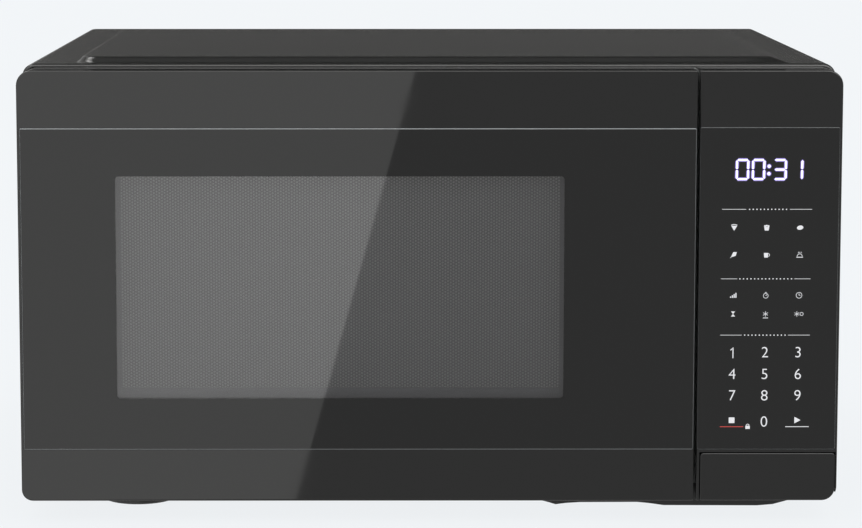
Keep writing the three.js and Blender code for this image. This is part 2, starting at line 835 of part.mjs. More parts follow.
function magnetron() {
  const x0 = CAVITY.right + SHEET + GAP + 26 + GAP;
  const z = 173;
  const y = 250;
  const plates = [
    block(x0, x0 + 2, y - 44, y + 44, z - 38, z + 38),
    block(x0 + 62, x0 + 64, y - 44, y + 44, z - 38, z + 38),
    block(x0, x0 + 64, y - 44, y - 42, z - 38, z + 38),
    block(x0, x0 + 64, y + 42, y + 44, z - 38, z + 38),
    rod("x", [x0 + 32, y, z], 17, 63),
    rod("x", [x0 - 9, y, z], 7, 22),
    block(x0 + 63, x0 + 88, y - 26, y + 26, z - 24, z + 24),
  ];
  for (let i = 0; i < 6; i += 1) {
    plates.push(block(x0 + 12 + 8 * i, x0 + 13 + 8 * i, y - 43, y + 43, z - 36, z + 36));
  }
  return mesh("magnetron", join(...plates), aluminium);
}

function transformerCore() {
  const frame = block(128, 224, 122, 196, 6, 90);
  const left_window = block(144, 160, 110, 210, 24, 72);
  const right_window = block(192, 208, 110, 210, 24, 72);
  const feet = block(122, 230, 124, 194, 4.5, 7);
  return mesh("transformer_core", cut(join(frame, feet), left_window, right_window), transformer_steel);
}

function transformerWindings() {
  const outside = extrudeUp(roundedRectangle(144.4, 106, 207.6, 212, 12), 26, 70);
  const inside = block(159.6, 192.4, 121.6, 196.4, 0, 100);
  return mesh("transformer_windings", cut(outside, inside), copper_wire);
}

function capacitor() {
  const can = extrudeUp(roundedRectangle(132, 292, 186, 322, 14), 12, 92);
  const terminals = [
    block(143, 145, 303, 311, 90, 104),
    block(173, 175, 303, 311, 90, 104),
  ];
  return mesh("capacitor", join(can, ...terminals), aluminium);
}

function capacitorClamp() {
  const band = cut(
    extrudeUp(roundedRectangle(130.6, 290.6, 187.4, 323.4, 15.4), 40, 54),
    extrudeUp(roundedRectangle(131.6, 291.6, 186.4, 322.4, 14.4), 30, 60),
  );
  const strap = block(186.6, 189, 300, 314, 4.5, 54);
  const strap_foot = block(186.6, 204, 300, 314, 4.5, 6);
  return mesh("capacitor_clamp", join(band, strap, strap_foot), zinc_steel);
}

function highVoltageDiode() {
  const body = rod("y", [200, 330, 70], 4, 22, 12);
  const lead = rod("y", [200, 330, 70], 0.9, 48, 8);
  return mesh("high_voltage_diode", join(body, lead), black_plastic);
}

function filterBoard() {
  const board = block(150, 246, 292, 356, 250, 251.6);
  const parts = [
    block(158, 184, 300, 322, 228, 251),
    rod("z", [210, 318, 240], 12, 22),
    block(226, 240, 336, 350, 234, 251),
  ];
  return mesh("filter_board", join(board, ...parts), board_green);
}

function fanShroud() {
  const { x, z, shroud_front } = FAN;
  const box = block(x - 56, x + 56, shroud_front, 409, z - 54, z + 54);
  const throat = rod("y", [x, 395, z], 50, 60, ROUND);
  const hollow = cut(
    block(x - 53.5, x + 53.5, shroud_front - 1, 402, z - 51.5, z + 51.5),
    block(x - 60, x + 60, shroud_front - 2, shroud_front + 2.5, z + 14, z + 60),
  );
  const opening = block(x - 50, x + 50, shroud_front - 1, shroud_front + 3, z - 48, z + 48);
  const rim = cut(box, hollow, throat);
  const arms = [
    block(x - 55, x - 51, 352, shroud_front + 4, z - 6, z + 6),
    block(x + 51, x + 55, 352, shroud_front + 4, z - 6, z + 6),
  ];
  return mesh("fan_shroud", join(cut(rim, opening), ...arms), white_plastic);
}

function fanMotor() {
  const { x, z } = FAN;
  const core = block(x - 30, x + 30, 346, 370, z - 24, z + 24);
  const coil = rod("y", [x, 358, z - 30], 14, 30);
  const bracket = block(x - 50.6, x + 50.6, 344, 346.5, z - 5, z + 5);
  const bore = rod("y", [x, 366, z], 3.2, 12);
  return mesh("fan_motor", cut(join(core, coil, bracket), bore), transformer_steel);
}

function fanBlades() {
  const { x, z, blade_radius } = FAN;
  const hub = rod("y", [0, 391, 0], 12, 14, 20);
  const shaft = rod("y", [0, 375, 0], 2.6, 24, 12);
  const blades = [];
  for (let i = 0; i < 5; i += 1) {
    const blade = block(8, blade_radius, -0.8, 0.8, -13, 13);
    const pitched = blade.rotate([24, 0, 0]).translate([0, 391, 0]);
    blades.push(pitched.rotate([0, i * 72, 0]));
  }
  const disc = rod("y", [0, 391, 0], blade_radius, 40, ROUND);
  const body = join(hub, shaft, ...blades).intersect(join(disc, shaft));
  const piece = mesh("fan_blades", body, black_plastic);
  piece.position.set(x, 0, z);
  return piece;
}

function ovenLamp() {
  const holder = block(122, 148, 96, 110, 217, 229);
  const bulb = rod("x", [119, 103, 223], 4.5, 8, 12);
  return mesh("oven_lamp", join(holder, bulb), white_plastic);
}

function lampLens() {
  return mesh("lamp_lens", block(CAVITY.right + 1.3, 114.6, 90, 116, 212, 234), clear_film);
}

function thermalCutout() {
  const disc = rod("z", [20, 300, CAVITY.top + 5], 7, 6);
  const plate = block(4, 36, 295, 305, CAVITY.top + 1.3, CAVITY.top + 3);
  const tabs = block(16, 24, 290, 310, CAVITY.top + 7, CAVITY.top + 11);
  return mesh("thermal_cutout", join(disc, plate, tabs), black_plastic);
}

// Assembly

const door = group(
  doorFrame(),
  doorGlass(),
  doorScreen(),
  doorInnerWindow(),
  doorBackCover(),
  latchHooks(),
  latchSpring(),
);

const control_side = group(
  controlFascia(),
  touchOverlay(),
  displayModule(),
  controlBoard(),
  powerRelay(),
  standbyTransformer(),
  releaseButton(),
  buttonSpring(),
);

const cabinet = group(
  outerCabinet(),
  basePlate(),
  rearPanel(),
  cordGland(),
  ...FEET.map(foot),
  ...SCREWS.map((place, index) => screw(index, place)),
);

const cavity = group(
  frontPlate(),
  cavityLiner(),
  waveguideCover(),
  hingeBracket("hinge_upper", HINGE_ARMS.upper, -1),
  hingeBracket("hinge_lower", HINGE_ARMS.lower, 1),
  lampLens(),
  ovenLamp(),
  thermalCutout(),
);

const turntable = group(
  turntableMotor(),
  driveCoupler(),
  glassTray(),
  rollerRing(),
  roller(0),
  roller(1),
  roller(2),
);

const latch = group(
  latchHousing(),
  releaseLever(),
  doorSwitch("primary_switch", 212),
  doorSwitch("monitor_switch", 66),
  doorSwitch("secondary_switch", 84),
);

const power = group(
  waveguide(),
  magnetron(),
  transformerCore(),
  transformerWindings(),
  capacitor(),
  capacitorClamp(),
  highVoltageDiode(),
  filterBoard(),
  fanShroud(),
  fanMotor(),
  fanBlades(),
);

const oven = group(door, control_side, cabinet, cavity, turntable, latch, power);
oven.position.set(0, -DEPTH / 2, FOOT_DROP);

export default group(oven);
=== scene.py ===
"""A countertop microwave oven: its looks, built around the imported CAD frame. Lengths are in metres."""

import json
import math

import bmesh
import bpy
from mathutils import Matrix, Vector


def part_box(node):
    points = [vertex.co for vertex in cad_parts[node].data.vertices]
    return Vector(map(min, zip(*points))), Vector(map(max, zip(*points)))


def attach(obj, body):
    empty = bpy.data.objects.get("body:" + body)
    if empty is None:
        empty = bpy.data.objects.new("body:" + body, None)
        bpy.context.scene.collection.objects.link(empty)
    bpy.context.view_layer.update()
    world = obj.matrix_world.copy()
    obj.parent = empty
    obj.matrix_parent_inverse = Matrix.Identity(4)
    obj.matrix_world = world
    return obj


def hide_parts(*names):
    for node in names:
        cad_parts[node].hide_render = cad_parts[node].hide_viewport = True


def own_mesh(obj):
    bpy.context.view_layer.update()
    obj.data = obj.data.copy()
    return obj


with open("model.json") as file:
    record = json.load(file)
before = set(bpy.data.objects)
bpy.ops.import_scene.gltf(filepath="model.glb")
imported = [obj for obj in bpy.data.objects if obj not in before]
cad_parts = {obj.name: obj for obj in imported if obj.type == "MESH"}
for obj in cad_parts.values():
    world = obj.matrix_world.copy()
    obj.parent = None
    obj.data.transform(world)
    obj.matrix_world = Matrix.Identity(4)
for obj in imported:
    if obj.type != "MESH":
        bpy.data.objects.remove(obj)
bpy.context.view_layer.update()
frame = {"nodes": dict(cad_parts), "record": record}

MM = 0.001


def mm(*sizes):
    """Sizes in millimetres, as metres."""
    return tuple(size * MM for size in sizes)


def corners(node):
    """The lowest and highest corner of a CAD node."""
    low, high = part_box(node)
    return Vector(low), Vector(high)


DOOR_LOW, DOOR_HIGH = corners("door_frame")
GLASS_LOW, GLASS_HIGH = corners("door_glass")
FASCIA_LOW, FASCIA_HIGH = corners("control_fascia")
OVERLAY_LOW, OVERLAY_HIGH = corners("touch_overlay")
BUTTON_LOW, BUTTON_HIGH = corners("release_button")
CABINET_LOW, CABINET_HIGH = corners("outer_cabinet")
SCREEN_LOW, SCREEN_HIGH = corners("door_screen")
CAVITY_LOW, CAVITY_HIGH = corners("cavity_liner")

FRONT = DOOR_LOW.y
FLOOR_LINE = DOOR_LOW.z  # height of the front's lower edge

# Camera


def add_camera():
    """Looks at the front from a little above, through a long lens."""
    data = bpy.data.cameras.new("camera")
    data.lens = 120.7
    data.shift_x = 0.0408
    data.shift_y = -0.08
    sideways, distance, height = -0.0256, 1.7863, 0.4125
    camera = bpy.data.objects.new("camera", data)
    camera.location = (sideways, FRONT - distance, height)
    tilt_down = math.radians(6.565)
    turn_right = math.radians(0.146)
    camera.rotation_euler = (math.pi / 2 - tilt_down, 0, -turn_right)
    bpy.context.collection.objects.link(camera)
    bpy.context.scene.camera = camera


add_camera()

# Shader helpers


def add_node(nodes, kind, **inputs):
    """A new node with its inputs set by name, with _ for each space."""
    made = nodes.new(kind)
    for name, value in inputs.items():
        made.inputs[name.replace("_", " ")].default_value = value
    return made


class Shader:
    """A material with one Principled shader and the nodes that feed it."""

    def __init__(self, name, colour, roughness, metallic=0.0, specular=0.5):
        self.material = bpy.data.materials.new(name)
        self.material.use_nodes = True
        tree = self.material.node_tree
        self.nodes = tree.nodes
        self.links = tree.links
        self.bsdf = self.nodes["Principled BSDF"]
        self.colour = colour
        self.bsdf.inputs["Base Color"].default_value = (*colour, 1)
        self.bsdf.inputs["Roughness"].default_value = roughness
        self.bsdf.inputs["Metallic"].default_value = metallic
        self.bsdf.inputs["Specular IOR Level"].default_value = specular
        self.place = self.nodes.new("ShaderNodeTexCoord").outputs["Object"]

    def noise(self, scale, detail=3.0, stretch=(1, 1, 1)):
        """A noise value over the piece. scale is in cycles per metre."""
        mapping = add_node(self.nodes, "ShaderNodeMapping", Scale=stretch)
        self.links.new(self.place, mapping.inputs["Vector"])
        texture = add_node(self.nodes, "ShaderNodeTexNoise", Scale=scale, Detail=detail)
        self.links.new(mapping.outputs["Vector"], texture.inputs["Vector"])
        return texture.outputs["Fac"]

    def ramp(self, value, low, high, start=0.35, end=0.65):
        """Maps a value to a range, for a socket that takes a number."""
        limits = {"From_Min": start, "From_Max": end, "To_Min": low, "To_Max": high}
        made = add_node(self.nodes, "ShaderNodeMapRange", **limits)
        self.links.new(value, made.inputs["Value"])
        return made.outputs["Result"]

    def vary_colour(self, value, spread):
        """Lets the base colour drift by a share either way."""
        mix = self.nodes.new("ShaderNodeMix")
        mix.data_type = "RGBA"
        mix.inputs["A"].default_value = (*[c * (1 - spread) for c in self.colour], 1)
        mix.inputs["B"].default_value = (*[min(c * (1 + spread), 1) for c in self.colour], 1)
        self.links.new(value, mix.inputs["Factor"])
        self.links.new(mix.outputs["Result"], self.bsdf.inputs["Base Color"])

    def vary_roughness(self, value, low, high):
        self.links.new(self.ramp(value, low, high), self.bsdf.inputs["Roughness"])

    def bump(self, value, strength, distance):
        made = add_node(self.nodes, "ShaderNodeBump", Strength=strength, Distance=distance)
        self.links.new(value, made.inputs["Height"])
        self.links.new(made.outputs["Normal"], self.bsdf.inputs["Normal"])


def moulded(name, colour, roughness, grain=900):
    """Moulded plastic: a faint cloud in colour and gloss, and a fine surface grain."""
    shader = Shader(name, colour, roughness)
    shader.vary_colour(shader.noise(35), 0.06)
    shader.vary_roughness(shader.noise(120), roughness * 0.9, min(roughness * 1.12, 1))
    shader.bump(shader.noise(grain, 4), 0.35, 0.02 * MM)
    return shader.material


def gloss_black_plastic():
    """The door's and fascia's gloss plastic, with the faint waviness of a moulding."""
    shader = Shader("gloss_black", (0.0100, 0.0100, 0.0099), 0.03, specular=0.6)
    shader.vary_colour(shader.noise(18), 0.05)
    shader.vary_roughness(shader.noise(60), 0.02, 0.035)
    shader.bump(shader.noise(30, 1), 0.02, 0.02 * MM)
    return shader.material


def printed_glass():
    """Glass with black print on its back: deep, even and glossier than the plastic."""
    shader = Shader("dark_glass", (0.0108, 0.0108, 0.0107), 0.06)
    shader.vary_colour(shader.noise(25), 0.04)
    shader.vary_roughness(shader.noise(80), 0.01, 0.02)
    return shader.material


def see_through(name, tint, gloss_roughness, mirror=0.04):
    """Thin clear sheet: lets light through. mirror is the share that it mirrors, seen straight on."""
    material = bpy.data.materials.new(name)
    material.use_nodes = True
    nodes = material.node_tree.nodes
    links = material.node_tree.links
    nodes.remove(nodes["Principled BSDF"])
    clear = add_node(nodes, "ShaderNodeBsdfTransparent", Color=(*tint, 1))
    gloss = add_node(nodes, "ShaderNodeBsdfGlossy", Color=(1, 1, 1, 1), Roughness=gloss_roughness)
    slant = add_node(nodes, "ShaderNodeLayerWeight", Blend=0.5)
    power = nodes.new("ShaderNodeMath")
    power.operation = "POWER"
    power.inputs[1].default_value = 5
    links.new(slant.outputs["Facing"], power.inputs[0])
    share = add_node(nodes, "ShaderNodeMapRange", To_Min=mirror)
    links.new(power.outputs["Value"], share.inputs["Value"])
    mix = nodes.new("ShaderNodeMixShader")
    links.new(share.outputs["Result"], mix.inputs["Fac"])
    links.new(clear.outputs["BSDF"], mix.inputs[1])
    links.new(gloss.outputs["BSDF"], mix.inputs[2])
    links.new(mix.outputs["Shader"], nodes["Material Output"].inputs["Surface"])
    return material


def powder_coat():
    """The cabinet's dark grey powder coat, with its fine pebbled texture."""
    shader = Shader("cabinet_paint", (0.0195, 0.0195, 0.0185), 0.26)
    shader.vary_colour(shader.noise(1500, 2), 0.05)
    shader.vary_roughness(shader.noise(900, 2), 0.255, 0.265)
    shader.bump(shader.noise(1800, 1), 0.04, 0.002 * MM)
    return shader.material


def oven_enamel():
    shader = Shader("cavity_enamel", (0.62, 0.62, 0.60), 0.35)
    shader.vary_colour(shader.noise(300, 4), 0.05)
    shader.vary_roughness(shader.noise(50), 0.3, 0.42)
    shader.bump(shader.noise(1500, 3), 0.3, 0.02 * MM)
    return shader.material


def sheet_metal(name, colour, roughness, stretch=(1, 1, 1)):
    """Plated or bare metal, with soft spangle and rolling marks along one axis."""
    shader = Shader(name, colour, roughness, metallic=1.0)
    shader.vary_colour(shader.noise(260, 2), 0.12)
    shader.vary_roughness(shader.noise(900, 3, stretch), roughness * 0.8, roughness * 1.25)
    shader.bump(shader.noise(1400, 3, stretch), 0.25, 0.01 * MM)
    return shader.material


def winding_wire():
    """Varnished copper winding: fine turns as ridges."""
    shader = Shader("copper_wire", (0.52, 0.19, 0.07), 0.3, metallic=0.9)
    wave = add_node(shader.nodes, "ShaderNodeTexWave", Scale=320.0, Distortion=0.3)
    wave.bands_direction = "Z"
    shader.links.new(shader.place, wave.inputs["Vector"])
    shader.bump(wave.outputs["Fac"], 0.8, 0.3 * MM)
    shader.vary_colour(shader.noise(200), 0.2)
    return shader.material


def stacked_steel():
    """Transformer laminations: thin stripes with a varnish."""
    shader = Shader("transformer_steel", (0.13, 0.135, 0.14), 0.45, metallic=0.7)
    wave = add_node(shader.nodes, "ShaderNodeTexWave", Scale=310.0, Distortion=0.2)
    wave.bands_direction = "Y"
    shader.links.new(shader.place, wave.inputs["Vector"])
    shader.bump(wave.outputs["Fac"], 0.6, 0.2 * MM)
    shader.vary_colour(shader.noise(150), 0.25)
    return shader.material


def mica_sheet():
    shader = Shader("mica", (0.40, 0.33, 0.25), 0.4)
    shader.vary_colour(shader.noise(260, 5), 0.35)
    shader.vary_roughness(shader.noise(400), 0.25, 0.6)
    shader.bump(shader.noise(500, 5), 0.4, 0.05 * MM)
    return shader.material


def circuit_board():
    """Solder mask with a hint of the tracks under it."""
    shader = Shader("board_green", (0.018, 0.10, 0.035), 0.3)
    tracks = add_node(shader.nodes, "ShaderNodeTexVoronoi", Scale=260.0)
    shader.links.new(shader.place, tracks.inputs["Vector"])
    shader.vary_colour(shader.ramp(tracks.outputs["Distance"], 0, 1, 0.2, 0.7), 0.35)
    shader.bump(tracks.outputs["Distance"], 0.2, 0.05 * MM)
    return shader.material


def misted_film():
    """The screen's inner film: part clear, part milky, so that the lamp makes it glow evenly."""
    material = see_through("misted_film", (0.95, 0.95, 0.94), 0.12)
    nodes = material.node_tree.nodes
    links = material.node_tree.links
    output = nodes["Material Output"].inputs["Surface"]
    clear = output.links[0].from_socket
    milky = add_node(nodes, "ShaderNodeBsdfTranslucent", Color=(0.69, 0.69, 0.68, 1))
    mix = add_node(nodes, "ShaderNodeMixShader", Fac=0.6)
    links.new(clear, mix.inputs[1])
    links.new(milky.outputs["BSDF"], mix.inputs[2])
    links.new(mix.outputs["Shader"], output)
    return material


def ground_edge_and_highlight():
    """The glass's ground edge, pale and frosted; its pale colour also paints the highlight that the
    rounded edge catches, so it shows as a fine bright line.
    """
    shader = Shader("ground_edge_and_highlight", (0.34, 0.35, 0.35), 0.5)
    shader.vary_colour(shader.noise(700, 3), 0.12)
    shader.vary_roughness(shader.noise(900), 0.42, 0.6)
    return shader.material


# Emission on top of a lit colour: a real lamp for the clock digits and their glow, a painted glow for
# the printed marks.
def glowing(name, colour, strength):
    shader = Shader(name, colour, 0.4)
    shader.bsdf.inputs["Emission Color"].default_value = (*colour, 1)
    shader.bsdf.inputs["Emission Strength"].default_value = strength
    shader.vary_roughness(shader.noise(500), 0.35, 0.45)
    return shader.material


MATERIALS = {
    "gloss_black": gloss_black_plastic(),
    "dark_glass": printed_glass(),
    "window_glass": see_through("window_glass", (0.75, 0.75, 0.76), 0.02, 0.063),
    "black_plastic": moulded("black_plastic", (0.018, 0.018, 0.019), 0.5),
    "white_plastic": moulded("white_plastic", (0.70, 0.69, 0.65), 0.42),
    "cabinet_paint": powder_coat(),
    "cavity_enamel": oven_enamel(),
    "screen_paint": moulded("screen_paint", (0.15, 0.15, 0.15), 0.55, 1800),
    "zinc_steel": sheet_metal("zinc_steel", (0.62, 0.64, 0.66), 0.34),
    "transformer_steel": stacked_steel(),
    "aluminium": sheet_metal("aluminium", (0.80, 0.81, 0.82), 0.3, (1, 8, 1)),
    "copper_wire": winding_wire(),
    "clear_glass": see_through("clear_glass", (0.88, 0.93, 0.91), 0.02),
    "clear_film": see_through("clear_film", (0.93, 0.94, 0.93), 0.08),
    "misted_film": misted_film(),
    "ground_edge_and_highlight": ground_edge_and_highlight(),
    "mica": mica_sheet(),
    "board_green": circuit_board(),
    "rubber": moulded("rubber", (0.03, 0.03, 0.029), 0.45, 1500),
    # The printed marks are real print with a painted glow: their emission makes them brighter than the
    # lights alone would.
    "white_print_glowing": glowing("white_print_glowing", (0.80, 0.79, 0.80), 0.12),
    "red_print_glowing": glowing("red_print_glowing", (0.62, 0.06, 0.05), 0.12),
    "digit_light": glowing("digit_light", (0.92, 0.88, 1.0), 1.15),
    "digit_halo": glowing("digit_halo", (0.30, 0.24, 0.62), 0.32),
}

SLOT_OF_NODE = {part["node"]: part["material_slot"] for part in frame["record"]["subparts"]}
BODY_OF_NODE = {
    node: body for body, nodes in frame["record"]["behaviour"]["bodies"].items() for node in nodes
}

# Mesh helpers


def smooth(obj, angle=35):
    """Shades smooth, with a crease wherever faces meet at more than the angle. Flat faces stay flat
    right up to their rounded edges, so that they mirror straight lines as straight."""
    mesh = obj.data
    for polygon in mesh.polygons:
        polygon.use_smooth = True
    mesh.set_sharp_from_angle(angle=math.radians(angle))
    modifier = obj.modifiers.new("normals", "WEIGHTED_NORMAL")
    modifier.mode = "FACE_AREA"
    modifier.weight = 100
    modifier.keep_sharp = True
    apply_modifiers(obj)


def apply_modifiers(obj):
    """Leaves the object with its final mesh and no modifiers."""
    graph = bpy.context.evaluated_depsgraph_get()
    final = bpy.data.meshes.new_from_object(obj.evaluated_get(graph))
    obj.modifiers.clear()
    old = obj.data
    obj.data = final
    bpy.data.meshes.remove(old)


def add_object(name, mesh, *materials):
    obj = bpy.data.objects.new(name, mesh)
    bpy.context.collection.objects.link(obj)
    for key in materials:
        mesh.materials.append(MATERIALS[key])
    return obj


def finished(obj, body, slot, *nodes):
    """The obj rides on a body and stands for CAD nodes, which it hides. slot is not used."""
    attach(obj, body)
    if nodes:
        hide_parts(*nodes)
    return obj


def mesh_from(builder, name):
    mesh = bpy.data.meshes.new(name)
    bmesh.ops.recalc_face_normals(builder, faces=builder.faces)
    builder.to_mesh(mesh)
    builder.free()
    return mesh


CORNER_STEPS = 8
FILLET_STEPS = 4


def face_edges(low, high):
    """The left, low, right and high edge of a box, seen from the front."""
    return low.x, low.z, high.x, high.z


def grown(edges, clearance):
    """Edges moved outwards by a clearance, or inwards where it is negative."""
    left, low, right, high = edges
    return left - clearance, low - clearance, right + clearance, high + clearance


def rounded_outline(left, low, right, high, radii):
    """Points (x, z) round a rectangle, counter-clockwise from the lower left corner's arc."""
    a, b, c, d = (max(r, 0.01 * MM) for r in radii)
    centres = [
        (left + a, low + a, a, 180),
        (right - b, low + b, b, 270),
        (right - c, high - c, c, 0),
        (left + d, high - d, d, 90),
    ]
    points = []
    for x, z, radius, start in centres:
        for i in range(CORNER_STEPS + 1):
            angle = math.radians(start + 90 * i / CORNER_STEPS)
            points.append((x + radius * math.cos(angle), z + radius * math.sin(angle)))
    return points


def ring(builder, points, y):
    return [builder.verts.new((x, y, z)) for x, z in points]


def bridge(builder, first, second, material=0):
    """Quads between two rings with the same number of points."""
    count = len(first)
    for i in range(count):
        j = (i + 1) % count
        face = builder.faces.new((first[i], first[j], second[j], second[i]))
        face.material_index = material


def cap(builder, points, material=0):
    face = builder.faces.new(points)
    face.material_index = material


def fillet_rings(builder, edges, radii, rounding, y):
    """Rings that round an outline's edge into the front face at y. rounding holds how far each side
    comes in: left, low, right, high, and depth."""
    left, low, right, high = edges
    in_left, in_low, in_right, in_high, depth = rounding
    rings = []
    for i in range(FILLET_STEPS + 1):
        angle = math.pi / 2 * i / FILLET_STEPS
        share = 1 - math.cos(angle)
        inner = [r - share * max(in_left, in_high) for r in radii]
        points = rounded_outline(
            left + in_left * share,
            low + in_low * share,
            right - in_right * share,
            high - in_high * share,
            inner,
        )
        rings.append(ring(builder, points, y + depth * (1 - math.sin(angle))))
    return rings


def bridge_all(builder, rings, material=0):
    for first, second in zip(rings, rings[1:]):
        bridge(builder, first, second, material)


def box_mesh(builder, low, high):
    """A closed box between two corners."""
    made = bmesh.ops.create_cube(builder, size=1)["verts"]
    size = [b - a for a, b in zip(low, high)]
    middle = [(a + b) / 2 for a, b in zip(low, high)]
    bmesh.ops.scale(builder, vec=size, verts=made)
    bmesh.ops.translate(builder, vec=middle, verts=made)
    return made


def cut_boxes(obj, boxes):
    """Cuts boxes, each a low and a high corner, out of an object."""
    builder = bmesh.new()
    for low, high in boxes:
        box_mesh(builder, low, high)
    tool = add_object("cutter", mesh_from(builder, "cutter"))
    modifier = obj.modifiers.new("cut", "BOOLEAN")
    modifier.operation = "DIFFERENCE"
    modifier.solver = "EXACT"
    modifier.object = tool
    apply_modifiers(obj)
    cutter = tool.data
    bpy.data.objects.remove(tool)
    bpy.data.meshes.remove(cutter)


OTHER_MATERIAL = {"door_inner_window": "misted_film"}


def soften(node, bevel):
    """A copy of a CAD node with its hard edges rounded, in the node's own finish."""
    slot = SLOT_OF_NODE[node]
    builder = bmesh.new()
    builder.from_mesh(frame["nodes"][node].data)
    bmesh.ops.remove_doubles(builder, verts=builder.verts, dist=0.001 * MM)
    bmesh.ops.dissolve_limit(
        builder, angle_limit=math.radians(1), verts=builder.verts, edges=builder.edges
    )
    mesh = mesh_from(builder, node + "_rounded")
    obj = add_object(node + "_rounded", mesh, OTHER_MATERIAL.get(node, slot))
    modifier = obj.modifiers.new("edges", "BEVEL")
    modifier.width = bevel
    modifier.segments = 2
    modifier.limit_method = "ANGLE"
    modifier.angle_limit = math.radians(40)
    modifier.use_clamp_overlap = True
    apply_modifiers(obj)
    smooth(obj)
    return finished(obj, BODY_OF_NODE[node], slot, node)


# Door

GLASS_EDGES = face_edges(GLASS_LOW, GLASS_HIGH)
# Edges of the clear part of the door glass, and of the holes behind it: left, low, right, high
WINDOW = tuple(a + b for a, b in zip(GLASS_EDGES, mm(58.8, 32.3, -81.6, -30)))
PERFORATION = tuple(a + b for a, b in zip(WINDOW, mm(2.8, 5.5, -2.6, -1)))
DOOR_CORNERS = mm(7, 1, 1, 9.5)
FASCIA_CORNERS = mm(1, 8.8, 9.5, 1)
RECESS = 2.6 * MM
RECESS_CLEARANCE = 0.15 * MM
BUTTON_SLIP = 0.6 * MM  # clearance round the button at its left and top
PLASTIC = 3 * MM


def make_door_frame():
    """The door's moulding, rounded at the front, with a recess for the glass and a hollow back."""
    b = bmesh.new()
    edges = face_edges(DOOR_LOW, DOOR_HIGH)
    left, low, right, high = edges
    back = DOOR_HIGH.y
    swing_corner = 4 * MM
    rear = []
    for i in range(4):
        angle = math.pi / 2 * i / 3
        inset = swing_corner * (1 - math.sin(angle))
        depth = back - swing_corner * (1 - math.cos(angle))
        outline = rounded_outline(left + inset, low, right, high, DOOR_CORNERS)
        rear.append(ring(b, outline, depth))
    front = fillet_rings(b, edges, DOOR_CORNERS, mm(1.2, 1.2, 0.4, 0.8, 0.9), FRONT)
    recess_edges = grown(GLASS_EDGES, RECESS_CLEARANCE)
    mouth_rounding = mm(-0.12, -0.12, -0.12, -0.12, 0.25)
    mouth = fillet_rings(b, recess_edges, (1 * MM,) * 4, mouth_rounding, FRONT)
    recess_floor = ring(b, rounded_outline(*recess_edges, (1 * MM,) * 4), FRONT + RECESS)
    hole = rounded_outline(*grown(WINDOW, 1.5 * MM), (3 * MM,) * 4)
    hole_front = ring(b, hole, FRONT + RECESS)
    hole_back = ring(b, hole, FRONT + RECESS + PLASTIC)
    pocket = rounded_outline(
        left + 16.5 * MM, low + PLASTIC, right - PLASTIC, high - PLASTIC, (2 * MM,) * 4
    )
    pocket_floor = ring(b, pocket, FRONT + RECESS + PLASTIC)
    pocket_mouth = ring(b, pocket, back)
    loop = [*rear, *front, *reversed(mouth), recess_floor]
    loop += [hole_front, hole_back, pocket_floor, pocket_mouth, rear[0]]
    bridge_all(b, loop)
    obj = add_object("door_moulding", mesh_from(b, "door_moulding"), "gloss_black")
    hinge_x = left + 12.5 * MM
    slots = []
    for node in ("hinge_upper", "hinge_lower"):
        bracket_low, bracket_high = corners(node)
        arm = bracket_low.z + 6 * MM if node == "hinge_lower" else bracket_high.z - 7 * MM
        slot_low = (left - 1 * MM, FRONT + 12 * MM, arm - 1.9 * MM)
        slots.append((slot_low, (hinge_x, back + 1 * MM, arm + 1.9 * MM)))
    pin_space = 3 * MM
    for (slot_low, slot_high), reach in zip(list(slots), (-13 * MM, 13 * MM)):
        pivot = (left + 6 * MM, FRONT + 20.5 * MM)
        near = slot_low[2] if reach < 0 else slot_high[2]
        z0, z1 = sorted((near, (slot_low[2] + slot_high[2]) / 2 + reach))
        slots.append(
            (
                (pivot[0] - pin_space, pivot[1] - pin_space, z0),
                (pivot[0] + pin_space, pivot[1] + pin_space, z1),
            )
        )
    cut_boxes(obj, slots)
    smooth(obj, 30)
    return finished(obj, "door", "gloss_black", "door_frame")


def make_door_glass():
    """One flush sheet: a printed border round a clear, smoked window."""
    b = bmesh.new()
    corner = (0.8 * MM,) * 4
    proud = 0.25 * MM
    rim = fillet_rings(b, GLASS_EDGES, corner, mm(0.2, 0.3, 0.2, 0.55, 0.5), GLASS_LOW.y - proud)
    window = rounded_outline(*WINDOW, (2.3 * MM,) * 4)
    front_window = ring(b, window, GLASS_LOW.y - proud)
    back_rim = ring(b, rounded_outline(*GLASS_EDGES, corner), GLASS_HIGH.y)
    back_window = ring(b, window, GLASS_HIGH.y)
    bridge_all(b, [back_window, back_rim, rim[0]])
    # The rounded rim takes the pale ground-edge colour, which also paints the rim's highlight.
    bridge_all(b, rim, 2)
    bridge(b, rim[-1], front_window)
    cap(b, front_window, 1)
    cap(b, list(reversed(back_window)), 1)
    mesh = mesh_from(b, "door_pane")
    obj = add_object("door_pane", mesh, "dark_glass", "window_glass", "ground_edge_and_highlight")
    smooth(obj, 30)
    return finished(obj, "door", "dark_glass", "door_glass")


def make_screen_pan():
    """The door's inner steel pan, with an opening for its perforated part."""
    b = bmesh.new()
    sheet = 1 * MM
    low, high = SCREEN_LOW, SCREEN_HIGH
    edges = face_edges(low, high)
    corner = (3 * MM,) * 4
    outline = rounded_outline(*edges, corner)
    inner = rounded_outline(*grown(edges, -sheet), (2 * MM,) * 4)
    opening = rounded_outline(*PERFORATION, (1 * MM,) * 4)
    front = fillet_rings(b, edges, corner, (1 * MM,) * 5, low.y)
    loop = [ring(b, outline, high.y), *front, ring(b, opening, low.y)]
    loop += [ring(b, opening, low.y + sheet), ring(b, inner, low.y + sheet), ring(b, inner, high.y)]
    loop.append(loop[0])
    bridge_all(b, loop)
    obj = add_object("screen_pan", mesh_from(b, "screen_pan"), "screen_paint")
    smooth(obj)
    return finished(obj, "door", "screen_paint", "door_screen")


PITCH = 1.95 * MM  # spacing of the holes
HOLE_RADIUS = 0.66 * MM
SCREEN_SHEET = 0.5 * MM


